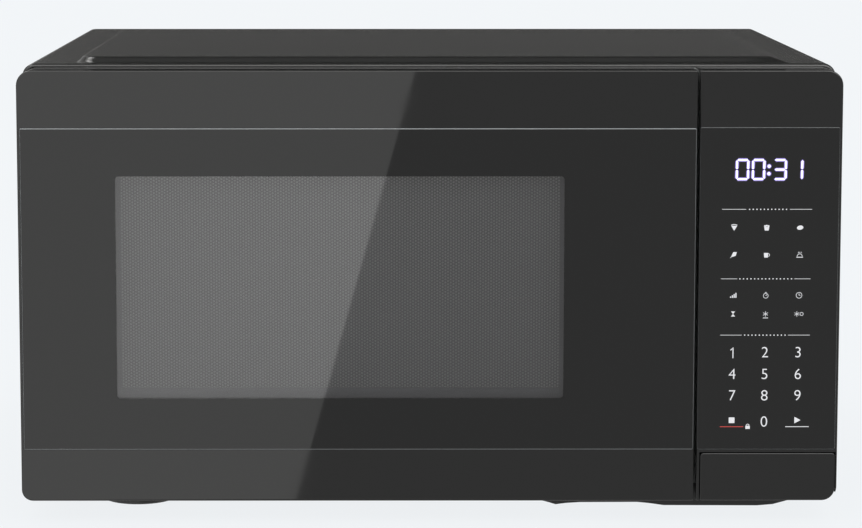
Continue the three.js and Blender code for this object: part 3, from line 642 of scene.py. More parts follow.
def make_perforated_sheet():
    """The pan's perforated part: six-sided holes, each column half a step off the last one."""
    left, low, right, high = PERFORATION
    column_step = PITCH * math.sqrt(3) / 2
    columns = int((right - left) / column_step) + 1
    rows = int((high - low) / PITCH) + 1
    front = SCREEN_LOW.y + 0.25 * MM
    sides = 6
    vertices = []
    faces = []
    shared = {}

    def corner(x, z, y):
        """One vertex of the hexagonal cells, shared by the cells round it."""
        key = (round(x * 1e6), round(z * 1e6), round(y * 1e6))
        if key not in shared:
            shared[key] = len(vertices)
            vertices.append((x, y, z))
        return shared[key]

    cell_radius = PITCH / math.sqrt(3)
    for i in range(columns):
        for j in range(rows):
            x = left + (i + 0.25) * column_step
            z = low + (j + 0.25 + 0.5 * (i % 2)) * PITCH
            rims = []
            for y in (front, front + SCREEN_SHEET):
                cell = []
                hole = []
                for k in range(sides):
                    angle = math.pi / 3 * k
                    cosine, sine = math.cos(angle), math.sin(angle)
                    cell.append(corner(x + cell_radius * cosine, z + cell_radius * sine, y))
                    hole.append(len(vertices))
                    vertices.append((x + HOLE_RADIUS * cosine, y, z + HOLE_RADIUS * sine))
                rims.append((cell, hole))
            (cell, hole), (far_cell, far_hole) = rims
            for k in range(sides):
                m = (k + 1) % sides
                faces.append((cell[k], cell[m], hole[m], hole[k]))
                faces.append((far_cell[m], far_cell[k], far_hole[k], far_hole[m]))
                faces.append((hole[k], hole[m], far_hole[m], far_hole[k]))
    mesh = bpy.data.meshes.new("screen_perforation")
    mesh.from_pydata(vertices, [], faces)
    obj = add_object("screen_perforation", mesh, "screen_paint")
    return finished(obj, "door", "screen_paint")


# Control side


def make_fascia():
    """The moulding round the control panel: a recess for the overlay and a well for the button."""
    b = bmesh.new()
    edges = face_edges(FASCIA_LOW, FASCIA_HIGH)
    left, low, right, high = edges
    back = FASCIA_HIGH.y
    outline = rounded_outline(*edges, FASCIA_CORNERS)
    front = fillet_rings(b, edges, FASCIA_CORNERS, mm(0.4, 1.2, 1.2, 0.8, 0.9), FRONT)
    _, *other_edges = grown(face_edges(OVERLAY_LOW, OVERLAY_HIGH), RECESS_CLEARANCE)
    recess = rounded_outline(OVERLAY_LOW.x - 0.04 * MM, *other_edges, (0.9 * MM,) * 4)
    loop = [*front, ring(b, recess, FRONT), ring(b, recess, FRONT + 1.4 * MM)]
    pocket = rounded_outline(
        left + 2.5 * MM, low + PLASTIC, right - PLASTIC, high - PLASTIC, (2 * MM,) * 4
    )
    pocket_mouth = ring(b, pocket, back)
    pocket_floor = ring(b, pocket, FRONT + 4 * MM)
    bridge_all(b, [pocket_floor, pocket_mouth, ring(b, outline, back), *loop])
    cap(b, loop[-1])
    cap(b, pocket_floor)
    obj = add_object("fascia_moulding", mesh_from(b, "fascia_moulding"), "gloss_black")
    well = (
        (BUTTON_LOW.x - BUTTON_SLIP, FRONT - 1 * MM, low - 1 * MM),
        (BUTTON_HIGH.x + 0.3 * MM, FRONT + 20 * MM, BUTTON_HIGH.z + BUTTON_SLIP),
    )
    cut_boxes(obj, [well])
    smooth(obj, 30)
    finished(obj, "chassis", "gloss_black", "control_fascia")
    shelf = bmesh.new()
    box_mesh(
        shelf,
        (left + 1.5 * MM, FRONT + 20 * MM, low + 0.5 * MM),
        (right - 1 * MM, FRONT + 22.4 * MM, low + 35.8 * MM),
    )
    wall = add_object("fascia_well_wall", mesh_from(shelf, "fascia_well_wall"), "gloss_black")
    plunger_hole = (
        (BUTTON_LOW.x + 4.6 * MM, FRONT + 10 * MM, low + 18.5 * MM),
        (BUTTON_LOW.x + 14.6 * MM, FRONT + 30 * MM, low + 29.5 * MM),
    )
    cut_boxes(wall, [plunger_hole])
    smooth(wall, 30)
    finished(wall, "chassis", "gloss_black")


def make_overlay():
    """The flush touch overlay."""
    b = bmesh.new()
    edges = face_edges(OVERLAY_LOW, OVERLAY_HIGH)
    corner = (0.8 * MM,) * 4
    rim = fillet_rings(b, edges, corner, mm(0.12, 0.12, 0.12, 0.2, 0.2), OVERLAY_LOW.y)
    back = ring(b, rounded_outline(*edges, corner), OVERLAY_HIGH.y)
    bridge(b, back, rim[0])
    # The rounded rim takes the pale ground-edge colour, which also paints the rim's highlight.
    bridge_all(b, rim, 1)
    cap(b, rim[-1])
    cap(b, list(reversed(back)))
    mesh = mesh_from(b, "overlay_sheet")
    obj = add_object("overlay_sheet", mesh, "dark_glass", "ground_edge_and_highlight")
    smooth(obj, 30)
    return finished(obj, "chassis", "dark_glass", "touch_overlay")


def make_button():
    """The push plate that opens the door, hollow behind, with its plunger and spring post."""
    b = bmesh.new()
    edges = face_edges(BUTTON_LOW, BUTTON_HIGH)
    left, low, _, _ = edges
    corner = mm(1, 8.2, 2.2, 2.2)
    skirt_end = FRONT + 13.5 * MM
    rim = fillet_rings(b, edges, corner, mm(0.5, 1.2, 0.9, 0.6, 0.7), FRONT)
    hollow = rounded_outline(*grown(edges, -2.5 * MM), (1.5 * MM,) * 4)
    hollow_floor = ring(b, hollow, FRONT + 3 * MM)
    skirt = [ring(b, hollow, skirt_end), ring(b, rounded_outline(*edges, corner), skirt_end)]
    bridge_all(b, [hollow_floor, *skirt, *rim])
    cap(b, rim[-1])
    cap(b, hollow_floor)
    box_mesh(
        b,
        (left + 5.6 * MM, FRONT + 2.9 * MM, low + 19.8 * MM),
        (left + 13.6 * MM, BUTTON_HIGH.y, low + 27.8 * MM),
    )
    post = bmesh.ops.create_cone(
        b, cap_ends=True, segments=32, radius1=2.6 * MM, radius2=2.3 * MM, depth=8 * MM
    )["verts"]
    bmesh.ops.rotate(b, matrix=Matrix.Rotation(-math.pi / 2, 3, "X"), verts=post)
    bmesh.ops.translate(b, vec=(left + 42.6 * MM, FRONT + 6.9 * MM, low + 14.8 * MM), verts=post)
    obj = add_object("button_moulding", mesh_from(b, "button_moulding"), "gloss_black")
    smooth(obj, 30)
    return finished(obj, "release_button", "gloss_black", "release_button")


# Print and lights on the overlay

PRINT_FRONT = OVERLAY_LOW.y
PRINT_DEPTH = 0.03 * MM


class Print:
    """Flat shapes on the overlay, in millimetres from its lower left corner."""

    def __init__(self, share=1.0):
        """share is how proud the shapes stand, as a share of the print's depth."""
        self.builder = bmesh.new()
        self.depth = PRINT_DEPTH * share

    def polygon(self, points):
        """A thin slab with the outline given by points (x, z)."""
        front = [self.vertex(x, z, 0) for x, z in points]
        back = [self.vertex(x, z, 1) for x, z in points]
        bridge(self.builder, back, front)
        cap(self.builder, front)
        cap(self.builder, list(reversed(back)))

    def vertex(self, x, z, behind):
        """A corner, proud of the overlay or just inside it."""
        y = PRINT_FRONT - self.depth + behind * 2 * self.depth
        return self.builder.verts.new((OVERLAY_LOW.x + x * MM, y, OVERLAY_LOW.z + z * MM))

    def bar(self, x, z, width, height):
        """A bar with its middle at x, z."""
        self.polygon(
            [
                (x - width / 2, z - height / 2),
                (x + width / 2, z - height / 2),
                (x + width / 2, z + height / 2),
                (x - width / 2, z + height / 2),
            ]
        )

    def disc(self, x, z, radius, sides=24):
        angles = [2 * math.pi * i / sides for i in range(sides)]
        self.polygon([(x + radius * math.cos(a), z + radius * math.sin(a)) for a in angles])

    def arc(self, x, z, radius, width, start, end, steps=16):
        """A band of a circle, with angles in degrees."""
        inner = []
        outer = []
        for i in range(steps + 1):
            angle = math.radians(start + (end - start) * i / steps)
            cosine, sine = math.cos(angle), math.sin(angle)
            inner.append((x + (radius - width / 2) * cosine, z + (radius - width / 2) * sine))
            outer.append((x + (radius + width / 2) * cosine, z + (radius + width / 2) * sine))
        self.polygon(outer + inner[::-1])

    def stroke(self, x0, z0, x1, z1, width):
        """A straight line with square ends."""
        length = math.hypot(x1 - x0, z1 - z0)
        across = (-(z1 - z0) / length * width / 2, (x1 - x0) / length * width / 2)
        self.polygon(
            [
                (x0 + across[0], z0 + across[1]),
                (x0 - across[0], z0 - across[1]),
                (x1 - across[0], z1 - across[1]),
                (x1 + across[0], z1 + across[1]),
            ]
        )

    def done(self, name, material):
        obj = add_object(name, mesh_from(self.builder, name), material)
        return finished(obj, "chassis", "dark_glass")


def number(text, x, z, height):
    """A printed number with its middle at x, z, in millimetres from the overlay's lower left corner."""
    curve = bpy.data.curves.new("number_" + text, "FONT")
    curve.body = text
    curve.align_x = "CENTER"
    curve.align_y = "CENTER"
    curve.size = height / 0.7 * MM
    curve.extrude = PRINT_DEPTH
    curve.offset = -0.09 * MM
    obj = bpy.data.objects.new("number_" + text, curve)
    bpy.context.collection.objects.link(obj)
    obj.rotation_euler = (math.pi / 2, 0, 0)
    obj.location = (OVERLAY_LOW.x + x * MM, PRINT_FRONT, OVERLAY_LOW.z + z * MM)
    bpy.context.view_layer.update()
    graph = bpy.context.evaluated_depsgraph_get()
    mesh = bpy.data.meshes.new_from_object(obj.evaluated_get(graph))
    mesh.transform(obj.matrix_world)
    bpy.data.objects.remove(obj)
    mesh.materials.clear()
    made = add_object("number_" + text, mesh, "white_print_glowing")
    return finished(made, "chassis", "dark_glass")


COLUMNS = (21.6, 41.9, 62.7)  # middles of the three columns of keys
NUMBER_ROWS = (61.4, 47.6, 34.0, 17.3)
NUMBER_HEIGHT = 6.8


def print_one(x, z):
    """The number 1, with a flag at its top."""
    one = Print()
    half = NUMBER_HEIGHT / 2
    one.bar(x + 0.3, z, 0.62, NUMBER_HEIGHT)
    one.stroke(x + 0.5, z + half - 0.3, x - 1.3, z + half - 1.7, 0.58)
    one.done("number_1", "white_print_glowing")


def print_numbers():
    for row, z in enumerate(NUMBER_ROWS[:3]):
        for column, x in enumerate(COLUMNS):
            if row + column == 0:
                print_one(x, z)
                continue
            number(str(3 * row + column + 1), x, z, NUMBER_HEIGHT)
    number("0", COLUMNS[1], NUMBER_ROWS[3], NUMBER_HEIGHT)


LINE = 0.32  # width of a symbol's strokes
DOT_STEP = 2.3


def symbol_wedge(marks, x, z):
    marks.polygon([(x - 1.9, z + 1.2), (x, z - 1.9), (x + 1.9, z + 1.2)])
    marks.arc(x, z - 1.9, 3.9, 0.45, 62, 118)


def symbol_tub(marks, x, z):
    marks.polygon([(x - 1.2, z - 1.8), (x + 1.2, z - 1.8), (x + 1.6, z + 0.4), (x - 1.6, z + 0.4)])
    for side in (-1.1, 0, 1.1):
        marks.disc(x + side, z + 1.2 - abs(side) * 0.2, 0.62, 14)


def symbol_oval(marks, x, z):
    angles = [2 * math.pi * i / 28 for i in range(28)]
    marks.polygon([(x + 2.0 * math.cos(a), z + 1.35 * math.sin(a) + 0.2 * math.cos(a)) for a in angles])


def symbol_leaf(marks, x, z):
    marks.polygon([(x - 1.9, z - 1.6), (x - 0.4, z + 1.7), (x + 1.9, z + 1.8), (x + 1.2, z - 0.6)])
    marks.stroke(x - 2.2, z - 2.0, x - 1.5, z - 1.2, LINE)


def symbol_cup(marks, x, z):
    marks.polygon([(x - 1.3, z - 1.7), (x + 0.9, z - 1.7), (x + 1.2, z + 1.2), (x - 1.6, z + 1.2)])
    marks.arc(x + 1.2, z - 0.1, 0.85, LINE, -90, 90)


def symbol_dish(marks, x, z):
    marks.bar(x, z - 1.5, 4.2, 0.45)
    marks.arc(x, z - 1.0, 1.6, LINE, 0, 180)
    for side in (-0.9, 0, 0.9):
        marks.stroke(x + side, z + 1.0, x + side + 0.2, z + 1.9, LINE)


def symbol_steps(marks, x, z):
    for i in range(4):
        height = 0.9 + 0.75 * i
        marks.bar(x - 1.65 + 1.1 * i, z - 1.6 + height / 2, 0.7, height)


def symbol_timer(marks, x, z):
    marks.arc(x, z - 0.3, 1.5, LINE, 0, 360, 28)
    marks.bar(x, z + 1.75, 1.0, 0.4)
    marks.stroke(x, z - 0.3, x + 0.7, z + 0.5, LINE)


def symbol_clock(marks, x, z):
    marks.arc(x, z, 1.8, LINE, 0, 360, 28)
    marks.stroke(x, z, x, z + 1.2, LINE)
    marks.stroke(x, z, x + 0.9, z - 0.1, LINE)


def symbol_hourglass(marks, x, z):
    marks.polygon([(x - 1.3, z + 1.6), (x, z), (x + 1.3, z + 1.6)])
    marks.polygon([(x - 1.3, z - 1.6), (x + 1.3, z - 1.6), (x, z)])


def symbol_flake(marks, x, z):
    for i in range(3):
        angle = math.radians(90 + 60 * i)
        dx, dz = 1.7 * math.cos(angle), 1.7 * math.sin(angle)
        marks.stroke(x - dx, z - dz, x + dx, z + dz, LINE)


def symbol_weight(marks, x, z):
    symbol_flake(marks, x, z)
    marks.bar(x, z - 2.5, 3.2, 0.4)


def symbol_melt(marks, x, z):
    symbol_flake(marks, x - 1.2, z)
    marks.arc(x + 1.8, z, 1.0, LINE, 0, 360, 20)


SYMBOL_ROWS = (
    (140.4, (symbol_wedge, symbol_tub, symbol_oval)),
    (123.3, (symbol_leaf, symbol_cup, symbol_dish)),
    (97.8, (symbol_steps, symbol_timer, symbol_clock)),
    (86.0, (symbol_hourglass, symbol_weight, symbol_melt)),
)


def print_labels():
    """Plain symbols where a real panel has words, with hairlines and dots for its headings."""
    marks = Print()
    headings = (
        (151.9, (13.9, 28.9), (56.2, 70.0)),
        (108.2, (13.7, 23.9), (59.5, 69.7)),
        (72.6, (13.7, 27.2), (56.2, 69.9)),
    )
    for z, left_rule, right_rule in headings:
        for start, end in (left_rule, right_rule):
            marks.bar((start + end) / 2, z, end - start, 0.28)
        dots = int((right_rule[0] - left_rule[1]) / DOT_STEP)
        first = (left_rule[1] + right_rule[0] - (dots - 1) * DOT_STEP) / 2
        for i in range(dots):
            marks.disc(first + i * DOT_STEP, z, 0.42, 16)
    for z, symbols in SYMBOL_ROWS:
        for x, symbol in zip(COLUMNS, symbols):
            symbol(marks, x, z)
    stop_x, _, start_x = COLUMNS
    marks.bar(stop_x, 18.5, 3.6, 3.6)
    marks.polygon([(start_x - 1.7, 16.5), (start_x + 2.2, 18.6), (start_x - 1.7, 20.7)])
    marks.bar(start_x, 14.4, 14.8, 0.45)
    lock_x, lock_z = 31.7, 14.6
    marks.bar(lock_x, lock_z - 0.6, 2.8, 2.0)
    marks.arc(lock_x, lock_z + 0.5, 0.9, 0.4, 0, 180)
    marks.done("panel_marks", "white_print_glowing")
    stop = Print()
    stop.bar(stop_x, 14.4, 14.8, 0.45)
    stop.done("stop_line", "red_print_glowing")


SEGMENTS = {  # which of the seven segments each digit lights: top, upper right, lower right,
    # bottom, lower left, upper left, middle
    "0": (0, 1, 2, 3, 4, 5),
    "1": (1, 2),
    "3": (0, 1, 2, 3, 6),
}
DIGIT_HEIGHT = 13.0
DIGIT_WIDTH = 8.0
DIGIT_STROKE = 1.0
HALO = 0.6  # how far the glow spreads round a lit segment
DIGIT_SLANT = math.tan(math.radians(1))


def segment_outline(index, spread):
    """The pointed bar of one segment of a seven-segment digit, from the digit's lower left corner.
    spread widens it all round."""
    half = DIGIT_STROKE / 2
    right, top, middle = DIGIT_WIDTH - half, DIGIT_HEIGHT - half, DIGIT_HEIGHT / 2
    gap = 0.3
    ends = (
        ((half, top), (right, top)),
        ((right, top), (right, middle)),
        ((right, middle), (right, half)),
        ((half, half), (right, half)),
        ((half, middle), (half, half)),
        ((half, top), (half, middle)),
        ((half, middle), (right, middle)),
    )
    (x0, z0), (x1, z1) = ends[index]
    length = math.hypot(x1 - x0, z1 - z0)
    ux, uz = (x1 - x0) / length, (z1 - z0) / length
    points = []
    start, end = gap - spread, length - gap + spread
    thick = half + spread
    for along, across in (
        (start, 0),
        (start + thick, thick),
        (end - thick, thick),
        (end, 0),
        (end - thick, -thick),
        (start + thick, -thick),
    ):
        points.append((x0 + ux * along - uz * across, z0 + uz * along + ux * across))
    return points


def print_display():
    """The lit clock."""
    lit = Print()
    halo = Print(0.5)
    base = 170.3
    places = ((22.2, "0"), (32.2, "0"), (45.6, "3"), (55.8, "1"))
    for x, digit in places:
        for index in SEGMENTS[digit]:
            for layer, spread in ((halo, HALO), (lit, 0)):
                outline = segment_outline(index, spread)
                layer.polygon([(x + px + pz * DIGIT_SLANT, base + pz) for px, pz in outline])
    colon_x, dot_radius = 42.7, 0.85
    for height in (3.9, 8.6):
        x = colon_x + height * DIGIT_SLANT
        lit.disc(x, base + height, dot_radius)
        halo.disc(x, base + height, dot_radius + HALO)
    lit.done("clock_digits", "digit_light")
    halo.done("clock_glow", "digit_halo")


# Cabinet

PLATEAU_HEIGHT = 4.2 * MM
PLATEAU_EDGE = {
    "left": CABINET_LOW.x + 33 * MM,
    "right": CABINET_HIGH.x - 31 * MM,
    "front": CABINET_LOW.y + 2 * MM,
    "rear": CABINET_HIGH.y - 72 * MM,
}
PLATEAU_SLOPE = 5 * MM
CABINET_ROUND = 8 * MM
FRONT_FOLD = 1.9 * MM
CABINET_SHEET = 1 * MM


def smoothstep(value):
    t = min(max(value, 0), 1)
    return t * t * (3 - 2 * t)


def plateau_rise(x, y):
    """Height of the pressed plateau over the cabinet's flat top."""
    corner = 14 * MM
    left = PLATEAU_EDGE["left"] + corner
    right = PLATEAU_EDGE["right"] - corner
    front = PLATEAU_EDGE["front"] + corner
    rear = PLATEAU_EDGE["rear"] - corner
    dx = max(left - x, x - right, 0)
    dy = max(front - y, y - rear, 0)
    outside = math.hypot(dx, dy)
    return PLATEAU_HEIGHT * smoothstep((corner - outside) / PLATEAU_SLOPE)


def graded(start, end, marks, coarse, fine, reach):
    """Stations from start to end, closer together near the marks."""
    stations = [start]
    while stations[-1] < end:
        here = stations[-1]
        near = min(abs(here - mark) for mark in marks)
        step = fine if near < reach else coarse
        stations.append(min(here + step, end))
    return stations


def make_cabinet():
    """The wrap: one sheet up one side, over the top and down the other, pressed and with vents."""
    low, high = CABINET_LOW, CABINET_HIGH
    flat_top = high.z - PLATEAU_HEIGHT
    marks_x = [PLATEAU_EDGE["left"], PLATEAU_EDGE["right"]]
    edge = CABINET_ROUND
    slopes_x = [mark + 5 * MM for mark in marks_x]
    top_x = graded(low.x + edge, high.x - edge, slopes_x, *mm(12, 1, 14))
    arc = [math.pi / 2 * i / 10 for i in range(11)]
    section = [(low.x, low.z), (low.x, (low.z + flat_top) / 2)]
    section += [
        (low.x + edge * (1 - math.cos(a)), flat_top - edge * (1 - math.sin(a))) for a in arc
    ]
    first_top = len(section) - 1
    section += [(x, flat_top) for x in top_x[1:-1]]
    last_top = len(section)
    section += [
        (high.x - edge * (1 - math.sin(a)), flat_top - edge * (1 - math.cos(a))) for a in arc
    ]
    section += [(high.x, (low.z + flat_top) / 2), (high.x, low.z)]
    marks_y = [PLATEAU_EDGE["front"] + 4 * MM, PLATEAU_EDGE["rear"] - 4 * MM]
    body = graded(low.y + FRONT_FOLD, high.y, marks_y, *mm(14, 1, 14))
    fold = FRONT_FOLD
    stations = [(low.y + fold * (1 - math.cos(a)), fold * (1 - math.sin(a))) for a in arc[:-1:2]]
    stations += [(y, 0) for y in body]
    b = bmesh.new()
    grid = []
    middle = (low.x + high.x) / 2
    for y, drop in stations:
        row = []
        for index, (x, z) in enumerate(section):
            across = (x - middle) / (high.x - middle)
            px = x - drop * max(min((abs(across) - 0.97) / 0.03, 1), 0) * math.copysign(1, across)
            on_top = first_top <= index <= last_top
            pz = z - drop * smoothstep((z - (flat_top - edge)) / edge)
            if on_top:
                pz += plateau_rise(x, y)
            row.append(b.verts.new((px, y, pz)))
        grid.append(row)
    for first, second in zip(grid, grid[1:]):
        for i in range(len(section) - 1):
            b.faces.new((first[i], first[i + 1], second[i + 1], second[i]))
    mesh = bpy.data.meshes.new("cabinet_wrap")
    b.to_mesh(mesh)
    b.free()
    obj = add_object("cabinet_wrap", mesh, "cabinet_paint")
    thick = obj.modifiers.new("sheet", "SOLIDIFY")
    thick.thickness = CABINET_SHEET
    thick.offset = -1
    thick.use_even_offset = True
    apply_modifiers(obj)
    cut_boxes(obj, cabinet_vents())
    smooth(obj, 30)
    return finished(obj, "chassis", "cabinet_paint", "outer_cabinet")


def vent_row(wall_x, front, count, low, height):
    """Upright slots through a side wall, placed in millimetres from the front's lower edge."""
    pitch, width, reach = 12, 4 * MM, 5 * MM
    slots = []
    for i in range(count):
        y = FRONT + (front + pitch * i) * MM
        z = FLOOR_LINE + low * MM
        slots.append(((wall_x - reach, y, z), (wall_x + reach, y + width, z + height * MM)))
    return slots


def cabinet_vents():
    """Slots through the sides, where the machine compartment and the cavity breathe."""
    left, right = CABINET_LOW.x, CABINET_HIGH.x
    compartment = vent_row(right, 236, 12, 96, 34) + vent_row(right, 236, 12, 142, 34)
    return compartment + vent_row(left, 260, 10, 200, 28)


def turned(name, centre, profile, material, sides, crease):
    """A closed turned mesh about the vertical axis through centre. profile holds radii and heights."""
    b = bmesh.new()
    turns = [2 * math.pi * k / sides for k in range(sides)]
    rings = []
    for r, z in profile:
        points = [(centre.x + r * math.cos(a), centre.y + r * math.sin(a), z) for a in turns]
        rings.append([b.verts.new(point) for point in points])
    bridge_all(b, rings)
    cap(b, list(reversed(rings[0])))
    cap(b, rings[-1])
    obj = add_object(name, mesh_from(b, name), material)
    smooth(obj, crease)
    return obj


def make_foot(node):
    """A turned rubber foot with a ribbed skirt."""
    low, high = corners(node)
    radius = (high.x - low.x) / 2
    height = high.z - low.z
    profile = [(radius - 6 * MM, 0.4 * MM), (radius - 5 * MM, 0), (radius - 3 * MM, 0)]
    toe = 1.4 * MM
    for i in range(5):
        angle = math.pi / 2 * i / 4
        profile.append((radius - 2.6 * MM + toe * math.sin(angle), toe * (1 - math.cos(angle))))
    rib_base = 3 * MM
    rib_step = (height - rib_base) / 4
    for i in range(4):
        z = rib_base + i * rib_step
        r = radius - 1.4 * MM + i * 0.4 * MM
        profile += [(r, z), (r - 0.5 * MM, z + 0.4 * rib_step), (r, z + 0.8 * rib_step)]
    profile += [(radius, height - 0.2 * MM), (radius - 0.6 * MM, height)]
    raised = [(r, low.z + z) for r, z in profile]
    obj = turned(node + "_moulding", (low + high) / 2, raised, "rubber", 64, 35)
    finished(obj, "chassis", "rubber", node)


# Turntable


def make_tray():
    """The pressed glass tray, with an upturned rim, a step under it and three lugs at its middle."""
    low, high = corners("glass_tray")
    centre = (low + high) / 2
    radius = (high.x - low.x) / 2
    base = high.z - 11 * MM
    profile = [(0.5 * MM, base), (radius - 14 * MM, base)]
    for i in range(9):
        t = i / 8
        profile.append((radius - 14 * MM + 13 * MM * t, base + 8 * MM * t * t))
    profile += [
        (radius - 0.2 * MM, base + 9 * MM),
        (radius, base + 10 * MM),
        (radius - 0.4 * MM, base + 10.8 * MM),
        (radius - 1.4 * MM, base + 11 * MM),
        (radius - 2.4 * MM, base + 10.7 * MM),
    ]
    for i in range(9):
        t = 1 - i / 8
        profile.append((radius - 15.5 * MM + 12 * MM * t, base + 4.5 * MM + 5.6 * MM * t * t))
    profile += [(radius - 30 * MM, base + 4.4 * MM), (0.5 * MM, base + 4.4 * MM)]
    obj = turned("tray_glass", centre, profile, "clear_glass", 128, 40)
    b = bmesh.new()
    b.from_mesh(obj.data)
    for i in range(3):
        made = box_mesh(b, (10 * MM, 5 * MM, -3.9 * MM), (20 * MM, 9 * MM, 1 * MM))
        bmesh.ops.rotate(b, matrix=Matrix.Rotation(2 * math.pi * i / 3, 3, "Z"), verts=made)
        bmesh.ops.translate(b, vec=(centre.x, centre.y, base), verts=made)
    b.to_mesh(obj.data)
    b.free()
    smooth(obj, 40)
    return finished(obj, "turntable", "clear_glass", "glass_tray")


# Springs

SPRING_TURNS = 6
SPRING_END_TURN = 0.75  # the flat part of a turn at each end
WIRE_SIDES = 10
STEPS_PER_TURN = 28


def make_spring(node, body, axis, wire):
    """A coil spring in its node's box."""
    low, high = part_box(node)
    middle = (low + high) / 2
    along = Vector(axis)
    across = Vector((1, 0, 0))
    sideways = along.cross(across)
    radius = (high.x - low.x - wire) / 2
    length = (high - low).dot(along)
    steps = SPRING_TURNS * STEPS_PER_TURN
    b = bmesh.new()
    rings = []
    for i in range(steps + 1):
        turn = i / STEPS_PER_TURN
        share = (turn - SPRING_END_TURN) / (SPRING_TURNS - 2 * SPRING_END_TURN)
        rise = (min(max(share, 0), 1) - 0.5) * (length - wire)
        angle = 2 * math.pi * turn
        outward = across * math.cos(angle) + sideways * math.sin(angle)
        centre = middle + along * rise + outward * radius
        section = []
        for k in range(WIRE_SIDES):
            tilt = 2 * math.pi * k / WIRE_SIDES
            offset = outward * math.cos(tilt) + along * math.sin(tilt)
            section.append(b.verts.new(centre + offset * wire / 2))
        rings.append(section)
    bridge_all(b, rings)
    cap(b, rings[0])
    cap(b, rings[-1])
    obj = add_object(node + "_coil", mesh_from(b, node + "_coil"), "zinc_steel")
    smooth(obj, 50)
    finished(obj, body, "zinc_steel", node)
    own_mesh(obj)


# Everything else keeps its CAD shape with rounded edges


def soften_the_rest():
    thin = {  # smaller roundings, in millimetres, for what is made of sheet
        "base_plate": 0.2,
        "rear_panel": 0.3,
        "front_plate": 0.3,
        "cavity_liner": 0.3,
        "door_inner_window": 0.3,
        "lamp_lens": 0.25,
        "waveguide": 0.25,
        "waveguide_cover": 0.2,
        "capacitor_clamp": 0.2,
        "magnetron": 0.25,
        "hinge_upper": 0.4,
        "hinge_lower": 0.4,
        "fan_blades": 0.3,
    }
    for node, source in frame["nodes"].items():
        if not source.hide_render:
            soften(node, thin.get(node, 0.5) * MM)


# Floor and light


def four_sided(name, points):
    """An object with one face, and its mesh."""
    mesh = bpy.data.meshes.new(name)
    mesh.from_pydata(points, [], [(0, 1, 2, 3)])
    return add_object(name, mesh), mesh


def add_floor():
    """A wide pale floor that glows a little, as a light table does. It isn't mirrored in the gloss."""
    size = 30
    points = [(-size, -size, 0), (size, -size, 0), (size, size, 0), (-size, size, 0)]
    floor, mesh = four_sided("floor", points)
    shader = Shader("floor", (0.07, 0.071, 0.072), 0.9, specular=0.0)
    shader.vary_colour(shader.noise(2), 0.01)
    shader.bsdf.inputs["Emission Color"].default_value = (0.95, 0.977, 1.0, 1)
    shader.bsdf.inputs["Emission Strength"].default_value = 0.87
    mesh.materials.append(shader.material)
    floor.visible_glossy = False


# Brightness of the room that the gloss mirrors, by direction
HORIZON = 0.6
FRONT_LOW = 0.45
BACK_LOW = 0.12
STRAIGHT_UP = 0.05
SOFT_BOX = 5.0  # high in front of the oven
LEFT_LAMP = 9.0  # a small lamp, high on the left
LEFT_LAMP_DIRECTION = (-0.47, 0.185, 0.863)
LEFT_LAMP_EDGE = (0.978, 0.99)  # cosines of the angles from dark to full brightness
BACK_LEFT = 0.6


def add_world():
    """Even, pale light from all round. What the gloss mirrors differs by direction."""
    world = bpy.data.worlds.new("studio")
    bpy.context.scene.world = world
    world.use_nodes = True
    world.cycles.sampling_method = "NONE"
    nodes = world.node_tree.nodes
    links = world.node_tree.links
    background = nodes["Background"]
    direction = nodes.new("ShaderNodeSeparateXYZ")
    around = nodes.new("ShaderNodeTexCoord").outputs["Generated"]
    links.new(around, direction.inputs[0])

    def share(value, start, end):
        made = add_node(nodes, "ShaderNodeMapRange", From_Min=start, From_Max=end)
        links.new(value, made.inputs["Value"])
        return made.outputs["Result"]

    def maths(operation, first, second):
        made = nodes.new("ShaderNodeMath")
        made.operation = operation
        for socket, value in zip(made.inputs, (first, second)):
            if isinstance(value, (int, float)):
                socket.default_value = value
            else:
                links.new(value, socket)
        return made.outputs["Value"]

    def blend(amount, low, high):
        """low where the amount is 0, high where it is 1."""
        low_part = maths("MULTIPLY", maths("SUBTRACT", 1, amount), low)
        return maths("ADD", low_part, maths("MULTIPLY", amount, high))

    back_and_front, height = direction.outputs["Y"], direction.outputs["Z"]
    front = share(back_and_front, -0.2, -0.7)
    back = maths("MULTIPLY", share(back_and_front, 0.2, 0.7), share(height, -0.05, 0.03))
    mirrored = blend(back, blend(front, HORIZON, FRONT_LOW), BACK_LOW)
    back_left = maths("MULTIPLY", back, share(direction.outputs["X"], -0.12, -0.2))
    mirrored = blend(back_left, mirrored, BACK_LEFT)
    mirrored = blend(share(height, 0.7, 0.85), mirrored, STRAIGHT_UP)
    high_front = maths("MULTIPLY", share(back_and_front, -0.35, -0.45), share(height, 0.3, 0.4))
    mirrored = blend(high_front, mirrored, SOFT_BOX)
    lamp = nodes.new("ShaderNodeVectorMath")
    lamp.operation = "DOT_PRODUCT"
    lamp.inputs[1].default_value = LEFT_LAMP_DIRECTION
    links.new(around, lamp.inputs[0])
    mirrored = blend(share(lamp.outputs["Value"], *LEFT_LAMP_EDGE), mirrored, LEFT_LAMP)
    path = nodes.new("ShaderNodeLightPath")
    is_mirrored = path.outputs["Is Glossy Ray"]
    links.new(blend(is_mirrored, 1, mirrored), background.inputs["Strength"])
    colour = nodes.new("ShaderNodeMix")
    colour.data_type = "RGBA"
    colour.inputs["A"].default_value = (0.93, 0.955, 0.98, 1)
    colour.inputs["B"].default_value = (0.955, 0.95, 0.935, 1)
    links.new(is_mirrored, colour.inputs["Factor"])
    links.new(colour.outputs["Result"], background.inputs["Color"])


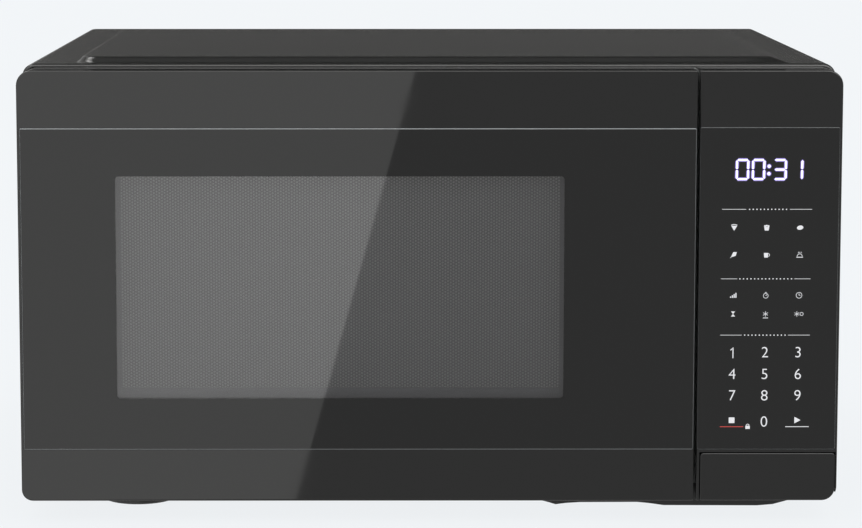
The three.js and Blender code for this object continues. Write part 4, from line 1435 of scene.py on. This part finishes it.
def add_mirror_card():
    """A slanted bright card behind the camera, which only the gloss sees: its edge crosses the door."""
    y = FRONT - 2.39
    bottom, top = -2.2, 2.2
    lean = 0.277  # how far the edge moves right for each metre up
    edge_at_floor = -0.0178
    far_left = -3.5
    points = [
        (far_left, y, bottom),
        (edge_at_floor + lean * bottom, y, bottom),
        (edge_at_floor + lean * top, y, top),
        (far_left, y, top),
    ]
    card, mesh = four_sided("mirror_card", points)
    material = bpy.data.materials.new("mirror_card")
    material.use_nodes = True
    nodes = material.node_tree.nodes
    nodes.remove(nodes["Principled BSDF"])
    light = add_node(nodes, "ShaderNodeEmission", Color=(1, 1, 0.985, 1), Strength=1.15)
    material.node_tree.links.new(light.outputs[0], nodes["Material Output"].inputs["Surface"])
    mesh.materials.append(material)
    card.visible_camera = False
    card.visible_diffuse = False
    card.visible_transmission = False
    card.visible_shadow = False


def add_cavity_light():
    """The oven lamp's soft light, which shines straight down in the cavity."""
    light = bpy.data.lights.new("cavity_light", "AREA")
    light.shape = "RECTANGLE"
    light.size = light.size_y = 0.3
    light.energy = 0.17
    light.color = (1, 0.985, 0.96)
    light.spread = math.pi
    obj = bpy.data.objects.new("cavity_light", light)
    middle = (CAVITY_LOW + CAVITY_HIGH) / 2
    obj.location = (middle.x, middle.y, CAVITY_HIGH.z - 4 * MM)
    direction = middle - obj.location
    obj.rotation_euler = direction.to_track_quat("-Z", "Y").to_euler()
    bpy.context.collection.objects.link(obj)
    obj.visible_camera = False


make_door_frame()
make_door_glass()
make_screen_pan()
make_perforated_sheet()
make_fascia()
make_overlay()
make_button()
print_numbers()
print_labels()
print_display()
make_cabinet()
for foot_node in ("foot_front_left", "foot_front_right", "foot_rear_left", "foot_rear_right"):
    make_foot(foot_node)
make_tray()
make_spring("button_spring", "chassis", (0, 1, 0), 1 * MM)
make_spring("latch_spring", "door", (0, 0, 1), 0.9 * MM)
soften_the_rest()
add_floor()
add_world()
add_mirror_card()
add_cavity_light()

scene = bpy.context.scene
scene.view_settings.view_transform = "Standard"
